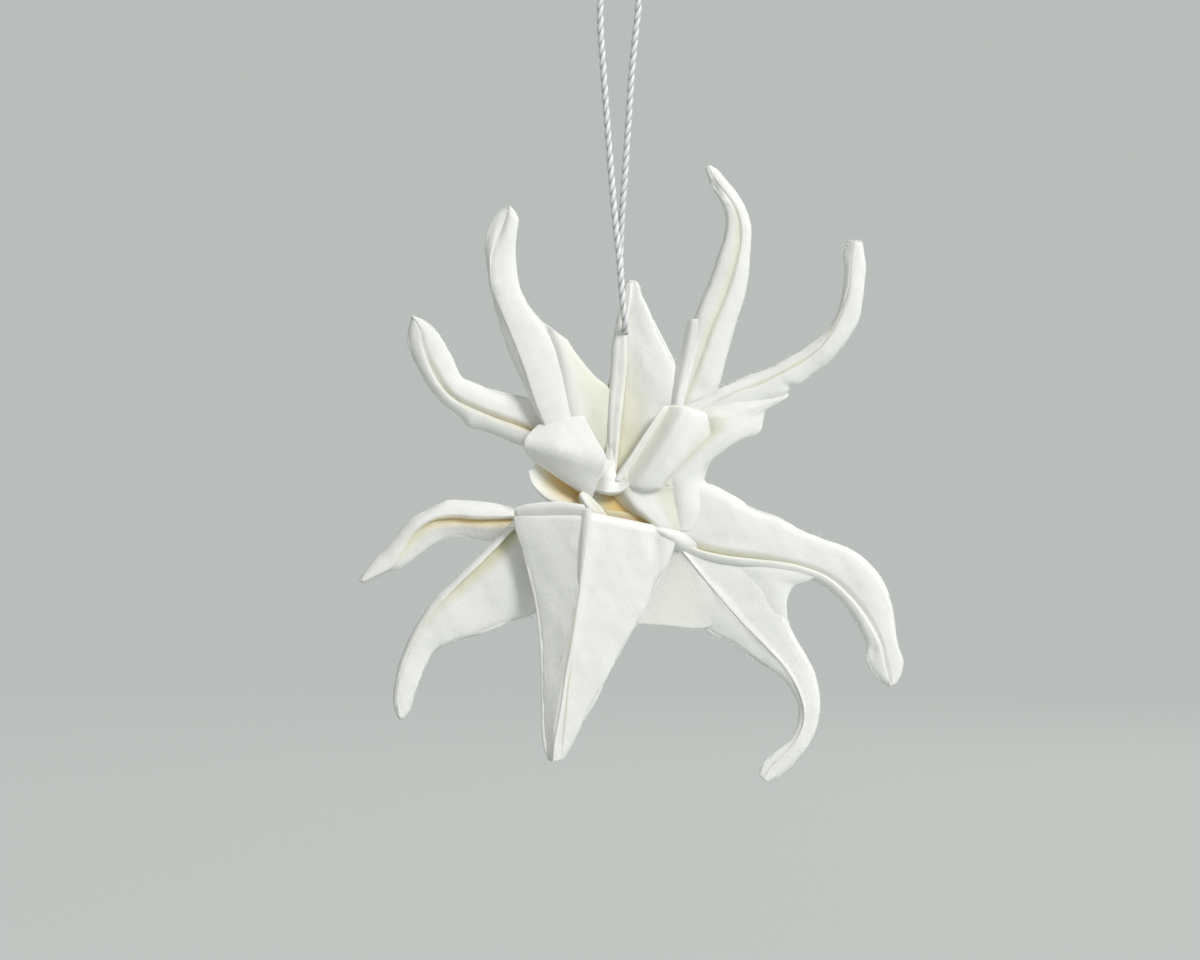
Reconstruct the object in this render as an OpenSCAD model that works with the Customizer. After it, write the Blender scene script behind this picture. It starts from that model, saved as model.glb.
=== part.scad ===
// Origami octopus ornament folded from one square of white paper, on a loop of twisted thread.
// Units are millimetres. X runs right and Z up in the front view, and Y runs away from the viewer.
// The origin is the inside of the loop's crown, where a hook or a twig carries it.

/* [Folded sheet] */

// Millimetres to one step of the front drawing, which sets how broad and tall the animal is
drawing_step = 0.13; // [0.11:0.005:0.16]

// Thickness of the folded layers where they lie together
layer = 0.3; // [0.2:0.05:0.4]

// How far the lips of an arm's slit stand in front of its fold edges
arm_rise = 1.0; // [0.7:0.05:1.4]

// How far the closed back of an arm stands behind its fold edges
arm_back = 0.9; // [0.7:0.05:1.4]

// How far the centre fold of the mantle stands in front of its two side edges
mantle_rise = 2.6; // [1.5:0.1:3.4]

// How far the rolled eyes stand in front of the body
eye_rise = 2.8; // [1.8:0.1:3.4]

// How far the closed back of the body stands behind the arms
body_back = 3.6; // [2:0.1:5]

// How far the opening below the eyes reaches in from the front
recess_depth = 4.2; // [2.5:0.1:5]

// Room all round the thread in the hole of the top flap
hole_clearance = 0.25; // [0.15:0.05:0.4]

/* [Hanging thread] */

// Diameter of the twisted thread
thread_d = 0.9; // [0.5:0.05:1.1]

// Breadth of the knot that joins the two ends of the thread
knot_breadth = 2.6; // [2:0.1:3.4]

// Height of the knot
knot_height = 2; // [1.4:0.1:2.6]

/* [Hidden] */

paper_white = [0.96, 0.95, 0.93];
thread_white = [0.86, 0.87, 0.88];

// Place of the thread hole. The drawing's points are counted in steps from it.
hole_x = 0.7;
hole_z = -46;

// Number of stretches along an arm and along a leaf
arm_stretches = 15;
leaf_stretches = 6;

// Each flap has three lines drawn from its root to its tip: the left fold edge, the slit
// and the right fold edge, as seen when looking from the root towards the tip.
// depth is the Y of the fold edges in mm, open is half the slit's breadth in drawing steps,
// and full is how much of the rise and back is left, each from the root to the tip.

arm_1_left = [[-52, -128], [-77, -121], [-102, -116], [-125, -107], [-145, -100], [-158, -96], [-163, -89],
    [-182, -74], [-195, -59], [-207, -39], [-215, -21], [-218, -9], [-216, 3], [-214, 13]];
arm_1_slit = [[-56, -112], [-80, -107], [-105, -96], [-125, -89], [-150, -80], [-165, -74], [-177, -65],
    [-190, -49], [-200, -31], [-204, -14], [-205, -1], [-211, 14]];
arm_1_right = [[-56, -84], [-80, -72], [-97, -65], [-120, -60], [-140, -55], [-155, -50], [-163, -46],
    [-169, -34], [-174, -22], [-182, -9], [-189, 2], [-200, 11], [-208, 15]];
arm_1_depth = [0.9, 0.8, 0.4, -0.4, -1.4];
arm_1_open = [1.5, 2, 2, 2.5, 2, 1, 0.5];

arm_2_left = [[-60, -140], [-77, -106], [-85, -90], [-96, -68], [-107, -44], [-118, -19], [-127, 10],
    [-133, 36], [-136, 56], [-140, 79], [-138, 98], [-132, 111], [-125, 120], [-120, 123]];
arm_2_slit = [[-56, -138], [-68, -115], [-78, -98], [-87, -81], [-95, -60], [-102, -40], [-112, -14], [-119, 6],
    [-128, 31], [-131, 44], [-132, 61], [-131, 76], [-127, 91], [-122, 106], [-117, 123]];
arm_2_right = [[-36, -134], [-50, -89], [-55, -64], [-59, -39], [-65, -19], [-75, -2], [-78, 6],
    [-89, 18], [-98, 29], [-105, 43], [-108, 61], [-109, 81], [-107, 99], [-106, 113], [-112, 125]];
arm_2_depth = [-0.6, -0.8, -0.9, -1.2, -1.6];
arm_2_open = [1.5, 3, 5, 4, 1, 0.6, 1.5, 0.5];

arm_3_left = [[38, -134], [49, -79], [55, -39], [59, -19], [69, 11], [76, 31], [84, 51], [91, 71],
    [97, 91], [100, 106], [99, 118], [93, 133], [87, 142], [83, 152], [80, 161]];
arm_3_slit = [[46, -134], [56, -105], [59, -79], [62, -59], [70, -39], [77, -19], [85, 6], [93, 26], [101, 48],
    [107, 69], [111, 91], [111, 109], [107, 124], [99, 136], [91, 147], [86, 158], [84, 164]];
arm_3_right = [[60, -134], [76, -105], [87, -79], [95, -57], [100, -34], [106, -14], [113, 11], [119, 31],
    [123, 51], [125, 71], [127, 91], [125, 111], [119, 126], [111, 139], [102, 150], [93, 160], [88, 165]];
arm_3_depth = [0.2, 0, -0.3, -0.8, -1.4];
arm_3_open = [0.6, 1, 2, 4, 4.5, 4.5, 3, 0.6];

arm_4_left = [[22, -98], [43, -81], [65, -71], [93, -58], [118, -46], [145, -36], [171, -22], [193, -7], [205, 7],
    [213, 23], [217, 41], [218, 59], [216, 73], [221, 82], [225, 87]];
arm_4_slit = [[30, -110], [50, -92], [69, -81], [89, -72], [112, -60], [132, -53], [155, -43], [173, -36],
    [187, -26], [199, -14], [208, -1], [216, 16], [221, 34], [223, 56], [225, 71], [229, 86]];
arm_4_right = [[42, -128], [65, -114], [105, -94], [137, -77], [160, -64], [164, -56], [175, -53], [190, -43],
    [206, -29], [220, -12], [232, 9], [237, 31], [239, 51], [241, 65], [238, 78], [233, 86]];
arm_4_depth = [-1.6, -1.7, -1.5, -1.8, -2.4];
arm_4_open = [1.5, 1.5, 1, 2.5, 2, 1.5, 1, 0.5];

arm_5_left = [[-84, -222], [-113, -215], [-136, -211], [-162, -207], [-180, -209], [-195, -216], [-205, -224],
    [-215, -232], [-225, -238], [-240, -243], [-250, -249], [-257, -252]];
arm_5_slit = [[-76, -198], [-95, -191], [-109, -188], [-130, -188], [-150, -188], [-175, -187], [-193, -190],
    [-207, -199], [-217, -211], [-223, -222], [-229, -232], [-240, -240], [-253, -246], [-261, -250]];
arm_5_right = [[-72, -186], [-90, -180], [-109, -176], [-125, -173], [-145, -170], [-175, -168], [-185, -171],
    [-200, -179], [-215, -188], [-227, -200], [-239, -216], [-250, -228], [-260, -240], [-265, -248]];
arm_5_depth = [1.6, 1.3, 0.8, 0.2, -0.6];
arm_5_open = [2, 1.5, 2.5, 3, 2, 0.6, 0.5];

arm_6_left = [[-40, -226], [-58, -258], [-89, -283], [-111, -291], [-130, -299], [-150, -305],
    [-170, -311], [-188, -319], [-197, -333], [-205, -351], [-211, -369], [-215, -380], [-219, -386]];
arm_6_slit = [[-66, -178], [-87, -186], [-107, -199], [-127, -219], [-147, -239], [-166, -257], [-182, -274],
    [-198, -291], [-210, -314], [-219, -337], [-225, -354], [-226, -366], [-224, -378], [-223, -385]];
arm_6_right = [[-84, -176], [-108, -186], [-134, -212], [-155, -233], [-175, -252], [-190, -266],
    [-205, -287], [-217, -310], [-225, -333], [-229, -354], [-231, -366], [-229, -378], [-226, -385]];
arm_6_depth = [-0.8, -1, -1.3, -1.9, -2.8];
arm_6_open = [2.5, 3, 2.5, 2, 1.5, 1, 0.6];

arm_7_left = [[44, -198], [66, -214], [95, -224], [130, -232], [166, -240], [179, -247], [168, -252], [161, -258],
    [160, -270], [162, -286], [168, -302], [179, -322], [188, -339], [193, -359], [194, -374], [191, -394], [183, -412],
    [169, -430], [155, -442], [143, -449]];
arm_7_slit = [[36, -202], [56, -221], [75, -245], [95, -269], [117, -294], [140, -316], [158, -336], [171, -356],
    [177, -374], [177, -391], [170, -407], [158, -421], [145, -434], [138, -445]];
arm_7_right = [[28, -212], [52, -226], [67, -259], [77, -296], [105, -312], [130, -329], [153, -344], [163, -353],
    [171, -368], [173, -381], [170, -396], [163, -408], [150, -418], [137, -430], [133, -440]];
arm_7_depth = [-1.8, -1.5, -1.4, -2, -3];
arm_7_open = [0.7, 1, 1.5, 1.5, 1.5, 1, 0.6];

arm_8_left = [[44, -158], [77, -151], [101, -160], [126, -174], [155, -185], [175, -198], [200, -208],
    [228, -219], [247, -235], [260, -254], [268, -274], [271, -297], [273, -314], [278, -329],
    [276, -342], [271, -351]];
arm_8_slit = [[34, -208], [57, -213], [77, -221], [100, -225], [125, -227], [150, -230], [175, -235], [200, -245],
    [220, -261], [237, -281], [248, -299], [255, -314], [258, -329], [261, -341], [264, -352]];
arm_8_right = [[30, -214], [54, -219], [80, -230], [110, -236], [145, -241], [183, -248], [197, -254], [211, -266],
    [225, -283], [235, -301], [240, -314], [239, -326], [245, -340], [253, -349], [260, -354]];
arm_8_depth = [-2, -1.8, -1.2, -1.4, -2.4];
arm_8_open = [1.5, 2.5, 2, 1.5, 2, 1.5, 0.6];

top_left = [[-18, -150], [-19, -109], [-19, -84], [-17, -54], [-15, -29], [-12, -4], [-9, 11], [-5, 23],
    [0, 36], [3, 46], [6, 50]];
top_slit = [[-10, -152], [-6, -109], [-3, -79], [0, -54], [2, -29], [2, -4], [3, 16], [5, 33], [8, 50]];
top_right = [[50, -140], [66, -105], [63, -69], [53, -36], [43, -16], [33, 3], [23, 22], [16, 38], [13, 46], [10, 50]];
top_depth = [0.4, 0.2, 0, 0, -0.1];
top_open = [0.6, 0.6, 0.5, 0.5, 0.5];

mantle_left = [[52, -199], [50, -217], [42, -236], [30, -260], [13, -292], [-1, -315], [-15, -341],
    [-28, -366], [-40, -386], [-50, -407], [-59, -422]];
mantle_slit = [[-37, -181], [-40, -210], [-44, -245], [-49, -282], [-54, -315], [-60, -349],
    [-63, -369], [-66, -389], [-68, -409], [-68, -425]];
mantle_right = [[-110, -178], [-112, -193], [-104, -218], [-97, -243], [-90, -272], [-86, -303],
    [-84, -335], [-83, -370], [-82, -400], [-79, -418], [-76, -425]];
mantle_depth = [-3.4, -3.6, -4.2, -4.8, -5.2];
mantle_open = [0.5, 0.5, 0.6, 0.8, 3, 5.5, 3];

full_arm = [0.9, 1, 1, 1, 0.95, 0.8, 0.6];
full_wide = [0.9, 1, 1, 0.95, 0.9, 0.75, 0.55];
full_top = [1.4, 1.1, 0.8, 0.7, 0.6];
full_mantle = [1, 1, 0.9, 0.75, 0.6, 0.45];

// A leaf is a sheet drawn as rows of points [right, up, depth in mm].

left_eye = [
    [[-89, -95, -0.4], [-64, -88, -0.4], [-41, -84, -0.4]],
    [[-87, -99, -1.4], [-64, -92, -2], [-40, -88, -2]],
    [[-95, -107, -2.4], [-65, -105, -3.4], [-29, -109, -3.4]],
    [[-101, -116, -3], [-65, -121, -4.3], [-20, -129, -4.1]],
    [[-98, -125, -3.2], [-65, -136, -4.5], [-26, -147, -4.3]],
    [[-89, -132, -2.8], [-61, -152, -3.8], [-33, -169, -3.6]]];

left_eye_lip = [
    [[-88, -131, -2.7], [-61, -151, -3.7], [-34, -167, -3.5]],
    [[-84, -123, -1.4], [-57, -141, -1.8], [-36, -155, -1.7]]];

right_eye = [
    [[34, -78, -0.2], [13, -106, -0.2], [-10, -137, -0.2], [-11, -149, -0.2]],
    [[37, -79, -1.6], [16, -107, -2], [-7, -138, -1.8], [-8, -149, -1.6]],
    [[43, -76, -2.8], [23, -109, -3.5], [-1, -140, -3.3], [-4, -151, -3]],
    [[55, -80, -3.4], [37, -114, -4.4], [14, -145, -4.3], [7, -154, -4]],
    [[69, -86, -3.4], [55, -117, -4.6], [36, -144, -4.6], [26, -157, -4.4]],
    [[96, -88, -2.6], [75, -116, -3.4], [53, -141, -3.5], [42, -154, -3.2]]];

right_web = [
    [[120, -70, -1.9], [95, -113, -2.6], [60, -160, -2.7]],
    [[139, -70, -1.2], [137, -80, -1.1], [133, -101, -1], [107, -111, -1.1], [89, -126, -1.1],
        [77, -147, -1.2], [74, -166, -1.3]]];

left_web = [
    [[-80, -4, -0.9], [-72, -19, -1.1], [-64, -49, -1.2], [-50, -130, -1.2]],
    [[-62, -7, -0.8], [-48, -29, -0.8], [-40, -59, -0.8], [-30, -135, -0.8]],
    [[-56, -12, -0.3], [-37, -43, 0], [-15, -60, 0.3], [-12, -140, 0.3]]];

outer_layer_a = [
    [[64, 11, -0.2], [57, -24, -0.1], [48, -60, 0], [42, -80, 0]],
    [[72, 9, -0.6], [64, -24, -0.5], [56, -60, -0.4], [52, -82, -0.4]]];

neck_left = [
    [[-86, -128, -1.2], [-97, -142, -1.1], [-93, -152, -1.1], [-73, -172, -1.6]],
    [[-74, -136, 0.2], [-80, -146, 0.6], [-76, -156, 0.6], [-64, -176, 0.2]],
    [[-60, -140, 1.4], [-60, -150, 1.8], [-58, -160, 1.8], [-50, -176, 1.4]]];

neck_right = [
    [[-2, -154, -2.2], [25, -154, -3.2], [45, -150, -3], [76, -148, -1.6]],
    [[0, -166, -1.4], [24, -175, -2.2], [50, -176, -3], [72, -168, -2]],
    [[18, -192, -3], [30, -199, -3.6], [54, -204, -3.4], [70, -192, -2.4]]];

mantle_web = [
    [[30, -205, -1.8], [10, -250, -1.7], [0, -290, -1.6]],
    [[54, -222, -1.9], [45, -255, -1.6], [37, -294, -1.3]],
    [[60, -225, -1.2], [67, -259, -0.9], [76, -296, -0.7]]];

// Corners of the opening below the eyes and of the pocket beside it, in drawing steps
recess = [[-25, -163], [-8, -163], [0, -159], [10, -181], [22, -191], [-14, -184], [-26, -174]];
pocket = [[-80, -140], [-56, -153], [-36, -167], [-48, -172], [-68, -167], [-86, -152]];

// Edge of the body's closed back, seen from the front
back_outline = [[-50, -86], [-82, -104], [-84, -120], [-82, -150], [-70, -172], [-60, -196], [-34, -213], [26, -213],
    [58, -204], [68, -168], [70, -148], [94, -110], [96, -94], [52, -70], [20, -62], [-30, -68]];

// The thread's route, in mm: from the cut end of one tail through the knot, down the front
// strand, through the hole in the top flap, up the back strand and through the knot again.
thread_route = [
    [-1.9, -0.3, 5.8], [-1.05, -0.2, 4.3], [-0.55, -0.1, 3], [-0.5, 0, 1.9], [-0.9, 0, 0.9], [-1.6, 0, -0.2],
    [-2.2, 0, -1.6], [-2.52, 0, -3.6], [-2.48, 0, -7], [-2.1, 0, -12.5], [-1.62, 0, -19], [-1.12, -0.2, -25.5],
    [-0.6, -0.8, -31.5], [-0.1, -1.4, -36.3], [0.2, -1.85, -39.8], [0.4, -2, -42.3], [0.6, -2, -44.1],
    [0.7, -1.73, -45.1], [0.7, -1, -45.83], [0.7, 0, -46.1], [0.7, 1, -45.83], [0.7, 1.73, -45.1],
    [0.6, 2, -44.1], [0.45, 2, -42.3], [0.25, 1.85, -39.8], [0.1, 1.4, -36.3], [0.25, 0.8, -31.5],
    [0.68, 0.2, -25.5], [1.12, 0, -19], [1.56, 0, -12.5], [2.1, 0, -7], [2.45, 0, -3.6], [2.2, 0, -1.6],
    [1.6, 0, -0.2], [0.9, 0, 0.9], [0.5, 0, 1.9], [0.55, 0.1, 3], [1, 0.2, 4.2], [1.6, 0.4, 5.3]];
knot_centre = [0, 0, 2.2];

// Measures along a line of points

// A point of the smooth curve that runs through four points, between the second and third.
function curve_point(a, b, c, d, t) = 0.5 * (2 * b + (c - a) * t + (2 * a - 5 * b + 4 * c - d) * t * t
    + (3 * b - a - 3 * c + d) * t * t * t);

// The smooth curve through all the points of p, with k stretches between neighbours.
function smooth(p, k) = let (n = len(p) - 1) concat(
    [for (i = [0 : n - 1], j = [0 : k - 1])
        curve_point(p[max(i - 1, 0)], p[i], p[i + 1], p[min(i + 2, n)], j / k)],
    [p[n]]);

// The distance run along p up to each of its points.
function run(p) = [for (i = 0, s = 0; i < len(p); s = i < len(p) - 1 ? s + norm(p[i + 1] - p[i]) : s,
    i = i + 1) s];

// The place along p at distance s.
function place(p, r, s, i = 0) = i >= len(p) - 2 || r[i + 1] >= s
    ? p[i] + (p[i + 1] - p[i]) * min(max((s - r[i]) / max(r[i + 1] - r[i], 0.0001), 0), 1)
    : place(p, r, s, i + 1);

// n stretches of equal length along the smooth curve through p.
function even(p, n) = let (q = smooth(p, 5), r = run(q)) [for (i = [0 : n]) place(q, r, r[len(q) - 1] * i / n)];

// The value at share t of a list of values.
function share(v, t) = let (s = t * (len(v) - 1), i = min(floor(s), len(v) - 2)) v[i] + (v[i + 1] - v[i]) * (s - i);

// Drawing steps to the part's own millimetres.
function at(g, y) = [hole_x + g[0] * drawing_step, y, hole_z + g[1] * drawing_step];

// Faces

// Two triangles for a four-cornered face.
function quad(a, b, c, d) = [[a, b, c], [a, c, d]];

// All the members of the lists in v.
function flat(v) = [for (a = v, b = a) b];

// Faces of a tube of n rings with m points each, between its rings.
function tube_sides(n, m) = flat([for (i = [0 : n - 2], k = [0 : m - 1])
    quad(i * m + k, i * m + (k + 1) % m, (i + 1) * m + (k + 1) % m, (i + 1) * m + k)]);

// A folded flap

// The section of a flap at share t: the sheet runs from the slit's left lip round the back
// to the slit's right lip, and returns along its inside.
function flap_ring(l, s, r, y, w, f, b) = let (
    a = (r - l) / norm(r - l),
    wl = min(w, 0.6 * norm(s - l)),
    wr = min(w, 0.6 * norm(r - s)),
    sl = s - a * wl,
    sr = s + a * wr,
    e = min(layer, 0.3 * (f + b)),
    g = e / drawing_step,
    gl = min(1.6 * g, 0.35 * norm(sl - l)),
    gr = min(1.6 * g, 0.35 * norm(r - sr)),
    m = (l + r) / 2) [
        at(sl, y - f), at((sl + l) / 2, y - 0.72 * f), at(l, y), at((l + m) / 2, y + 0.7 * b),
        at(m, y + b),
        at((r + m) / 2, y + 0.7 * b), at(r, y), at((sr + r) / 2, y - 0.72 * f), at(sr, y - f),
        at(sr, y - f + e), at((sr + r) / 2, y - 0.72 * f + e), at(r - a * gr, y),
        at((r + m) / 2, y + 0.7 * b - e), at(m, y + b - e), at((l + m) / 2, y + 0.7 * b - e),
        at(l + a * gl, y), at((sl + l) / 2, y - 0.72 * f + e), at(sl, y - f + e)];

// Faces that close a flap's end: the section's sheet in eight parts.
function flap_end(o) = flat([for (k = [0 : 7]) quad(o + k, o + k + 1, o + 16 - k, o + 17 - k)]);

// The same faces turned over.
function turned(v) = [for (a = v) [a[2], a[1], a[0]]];

module flap(left, slit, right, depth, open, full, rise, back) {
    n = arm_stretches;
    l = even(left, n);
    s = even(slit, n);
    r = even(right, n);
    rings = [for (i = [0 : n]) let (t = i / n)
        flap_ring(l[i], s[i], r[i], share(depth, t), share(open, t), rise * share(full, t),
            back * share(full, t))];
    polyhedron(flat(rings), concat(tube_sides(n + 1, 18), flap_end(n * 18), turned(flap_end(0))));
    dense_root(rings[0], rings[2]);
}

// The middle of a section's outer points.
function middle(ring) = (ring[0] + ring[2] + ring[4] + ring[6] + ring[8]) / 5;

// The layers inside a flap lie tight together where it leaves the body.
module dense_root(a, b) {
    hull() {
        polyhedron([for (ring = [a, b], k = [0 : 8]) middle(ring) + (ring[k] - middle(ring)) * 0.86],
            concat(tube_sides(2, 9), [[for (k = [9 : 17]) k], [for (k = [8 : -1 : 0]) k]]));
    }
}

// A single leaf

// Twice the area inside a line of points seen from the front, below zero if it runs clockwise.
function turn(p) = let (n = len(p)) [for (i = 0, s = 0; i <= n; s = i < n ? s + p[i][0] * p[(i + 1) % n][1]
    - p[i][1] * p[(i + 1) % n][0] : s, i = i + 1) s][n];

// The points of v from last to first.
function backwards(v) = [for (i = [len(v) - 1 : -1 : 0]) v[i]];

// One side of a leaf, moved by y from its middle.
function leaf_side(rows, y) = [for (row = rows, p = row) at(p, p[2] + y)];

// Faces of a grid of rows a and columns b, its first point numbered o.
function grid(a, b, o) = flat([for (i = [0 : a - 2], k = [0 : b - 2])
    quad(o + i * b + k, o + i * b + k + 1, o + (i + 1) * b + k + 1, o + (i + 1) * b + k)]);

// Faces of the rim between the two sides of a grid.
function rim(a, b) = let (
    line = concat([for (k = [0 : b - 1]) k], [for (i = [1 : a - 1]) i * b + b - 1],
        [for (k = [b - 2 : -1 : 0]) (a - 1) * b + k], [for (i = [a - 2 : -1 : 1]) i * b]),
    n = len(line))
    flat([for (i = [0 : n - 1]) quad(line[i], line[i] + a * b, line[(i + 1) % n] + a * b, line[(i + 1) % n])]);

module leaf(rows) {
    n = leaf_stretches;
    drawn = [for (row = rows) even(row, n)];
    edge = concat(drawn[0], [for (i = [1 : len(drawn) - 1]) drawn[i][n]], backwards(drawn[len(drawn) - 1]));
    used = turn(edge) > 0 ? drawn : backwards(drawn);
    a = len(used);
    b = n + 1;
    polyhedron(concat(leaf_side(used, -layer / 2), leaf_side(used, layer / 2)),
        concat(turned(grid(a, b, 0)), grid(a, b, a * b), turned(rim(a, b))));
}

// The layers between a flap's root and the middle of the body

module corner(g, y) {
    translate(at(g, y)) {
        cube(2 * layer, center = true);
    }
}

module root(left, slit, right, depth, inner, back) {
    hull() {
        corner(left[0], depth[0]);
        corner(right[0], depth[0]);
        corner((left[0] + right[0]) / 2, depth[0] + back);
        corner(slit[0], depth[0] - 0.3);
        corner(inner, -0.6);
        corner(inner, 0.5 * body_back);
    }
}

// A tuck between four corners, where layers of neighbouring flaps lie on each other.
module tuck(a, b, c, d, front, back) {
    hull() {
        for (g = [a, b, c, d]) {
            corner(g, front);
            corner(g, back);
        }
    }
}

module tucks() {
    tuck([50, -60], [64, -62], [42, -104], [64, -104], 0, 0.6);
    tuck([46, -84], [84, -92], [2, -140], [40, -148], -2.4, -0.2);
    tuck([36, -82], [52, -82], [-7, -143], [12, -145], -1.2, 0);
    tuck([38, -84], [62, -80], [32, -98], [60, -98], -1.9, -1.2);
    tuck([12, -84], [56, -68], [-2, -148], [58, -146], 0.3, 0.9);
    tuck([30, -158], [72, -156], [34, -196], [68, -194], -2.2, -0.6);
    tuck([28, -200], [52, -200], [30, -216], [60, -222], -2.4, -0.8);
    tuck([-104, -181], [-78, -180], [-102, -192], [-74, -196], -1.4, 1.4);
    tuck([66, -216], [66, -230], [150, -238], [158, -246], -1.65, -1.35);
    tuck([64, -216], [66, -234], [98, -222], [100, -238], -2, -1.4);
}

// The closed back of the body: one outer layer with a ridge down its middle.
module back_layer() {
    hull() {
        for (g = back_outline) {
            corner(g, 1.2);
        }
        for (g = [[-40, -112], [26, -112], [-36, -200], [14, -204]]) {
            corner(g, 0.2);
        }
        corner([-12, -92], 0.65 * body_back);
        corner([-12, -118], body_back);
        corner([-16, -188], body_back);
        corner([-24, -210], 0.7 * body_back);
    }
}

module body_layers() {
    back_layer();
    root(arm_1_left, arm_1_slit, arm_1_right, arm_1_depth, [-38, -118], arm_back);
    root(arm_2_left, arm_2_slit, arm_2_right, arm_2_depth, [-34, -122], arm_back);
    root(arm_3_left, arm_3_slit, arm_3_right, arm_3_depth, [12, -122], arm_back);
    root(arm_4_left, arm_4_slit, arm_4_right, arm_4_depth, [16, -130], arm_back);
    root(arm_5_left, arm_5_slit, arm_5_right, arm_5_depth, [-42, -196], arm_back);
    root(arm_6_left, arm_6_slit, arm_6_right, arm_6_depth, [-34, -206], arm_back);
    root(arm_7_left, arm_7_slit, arm_7_right, arm_7_depth, [10, -206], arm_back);
    root(arm_8_left, arm_8_slit, arm_8_right, arm_8_depth, [16, -186], arm_back);
    root(top_left, top_slit, top_right, top_depth, [-10, -126], arm_back);
    hull() {
        corner([-107, -178], mantle_depth[0]);
        corner([-45, -174], mantle_depth[0] - 0.7 * mantle_rise);
        corner([-35, -183], mantle_depth[0] - mantle_rise + 0.6);
        corner([28, -198], mantle_depth[0] - 0.4 * mantle_rise);
        corner([49, -206], mantle_depth[0]);
        corner([-80, -184], 0.4);
        corner([30, -214], 0.4);
        corner([-37, -200], 0.6 * body_back);
    }
    hull() {
        corner([-50, -140], 0.6);
        corner([-46, -116], 0);
        corner([-26, -146], -0.8);
        corner([0, -150], -0.8);
        corner([40, -148], -1.4);
        corner([50, -190], -1.4);
        corner([-30, -182], -1);
        corner([-56, -172], 0.6);
        corner([-14, -160], 0.8 * body_back);
    }
}

module cut(corners, depth) {
    translate([hole_x, depth - 7, hole_z]) {
        rotate([90, 0, 0]) {
            linear_extrude(depth) {
                scale(drawing_step) {
                    polygon(corners);
                }
            }
        }
    }
}

module thread_hole() {
    translate([hole_x, 4, hole_z]) {
        rotate([90, 0, 0]) {
            cylinder(h = 8, d = thread_d + 2 * hole_clearance, $fn = 20);
        }
    }
}

module arms() {
    flap(arm_1_left, arm_1_slit, arm_1_right, arm_1_depth, arm_1_open, full_arm, arm_rise, arm_back);
    flap(arm_2_left, arm_2_slit, arm_2_right, arm_2_depth, arm_2_open, full_arm, arm_rise, arm_back);
    flap(arm_3_left, arm_3_slit, arm_3_right, arm_3_depth, arm_3_open, full_arm, arm_rise, arm_back);
    flap(arm_4_left, arm_4_slit, arm_4_right, arm_4_depth, arm_4_open, full_arm, arm_rise, arm_back);
    flap(arm_5_left, arm_5_slit, arm_5_right, arm_5_depth, arm_5_open, full_arm, arm_rise, arm_back);
    flap(arm_6_left, arm_6_slit, arm_6_right, arm_6_depth, arm_6_open, full_wide, arm_rise, arm_back);
    flap(arm_7_left, arm_7_slit, arm_7_right, arm_7_depth, arm_7_open, full_wide, arm_rise, arm_back);
    flap(arm_8_left, arm_8_slit, arm_8_right, arm_8_depth, arm_8_open, full_arm, arm_rise, arm_back);
}

// The rows of an eye with its own rise.
function eye(rows) = [for (row = rows) [for (p = row) [p[0], p[1], p[2] * eye_rise / 2.8]]];

module folded_paper() {
    color(paper_white) {
        difference() {
            union() {
                arms();
                flap(top_left, top_slit, top_right, top_depth, top_open, full_top, arm_rise, arm_back);
                difference() {
                    body_layers();
                    cut(recess, recess_depth + 3);
                    cut(pocket, recess_depth + 3.6);
                }
                flap(mantle_left, mantle_slit, mantle_right, mantle_depth, mantle_open, full_mantle,
                    mantle_rise, arm_back);
                leaf(eye(left_eye));
                leaf(eye(left_eye_lip));
                leaf(concat(eye(right_eye), right_web));
                leaf(left_web);
                leaf(outer_layer_a);
                tucks();
                leaf(neck_left);
                leaf(neck_right);
                leaf(mantle_web);
            }
            thread_hole();
        }
    }
}

// The thread

// A unit vector square to the run of p at its point i.
function side_of(p, i) = let (
    d = p[min(i + 1, len(p) - 1)] - p[max(i - 1, 0)],
    c = cross(d, [0, 1, 0]),
    e = norm(c) > 0.3 * norm(d) ? c : cross(d, [1, 0, 0]))
    e / norm(e);

// A ring of eight points round the point i of p.
function thread_ring(p, i) = let (
    d = p[min(i + 1, len(p) - 1)] - p[max(i - 1, 0)],
    u = d / norm(d),
    a = ring_start(p, i),
    b = cross(a, u))
    [for (k = [0 : 7]) p[i] + thread_d / 2 * (a * cos(45 * k) + b * sin(45 * k))];

// The start of each ring follows the one before it, so that the tube doesn't twist.
function starts(p) = [for (i = 0, a = side_of(p, 0); i < len(p); i = i + 1,
    a = i < len(p) ? let (
        d = p[min(i + 1, len(p) - 1)] - p[max(i - 1, 0)],
        u = d / norm(d),
        e = a - u * (a * u)) e / norm(e) : a) a];

thread_points = smooth(thread_route, 2);
thread_starts = starts(thread_points);

function ring_start(p, i) = thread_starts[i];

// The knot's outline as five level rings from its foot to its top.
knot_rings = [for (h = [[-0.5, 0.5], [-0.3, 0.9], [0, 1], [0.3, 0.9], [0.5, 0.5]])
    [for (k = [0 : 9]) knot_centre + [knot_breadth / 2 * h[1] * cos(-36 * k),
        0.4 * knot_breadth * h[1] * sin(-36 * k), knot_height * h[0]]]];

module hanging_thread() {
    color(thread_white) {
        n = len(thread_points);
        rings = [for (i = [0 : n - 1]) thread_ring(thread_points, i)];
        union() {
            polyhedron(flat(rings), concat(tube_sides(n, 8), [[for (k = [0 : 7]) (n - 1) * 8 + k]],
                [[for (k = [7 : -1 : 0]) k]]));
            polyhedron(flat(knot_rings), concat(tube_sides(5, 10), [[for (k = [0 : 9]) 40 + k]],
                [[for (k = [9 : -1 : 0]) k]]));
        }
    }
}

folded_paper();
hanging_thread();
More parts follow.
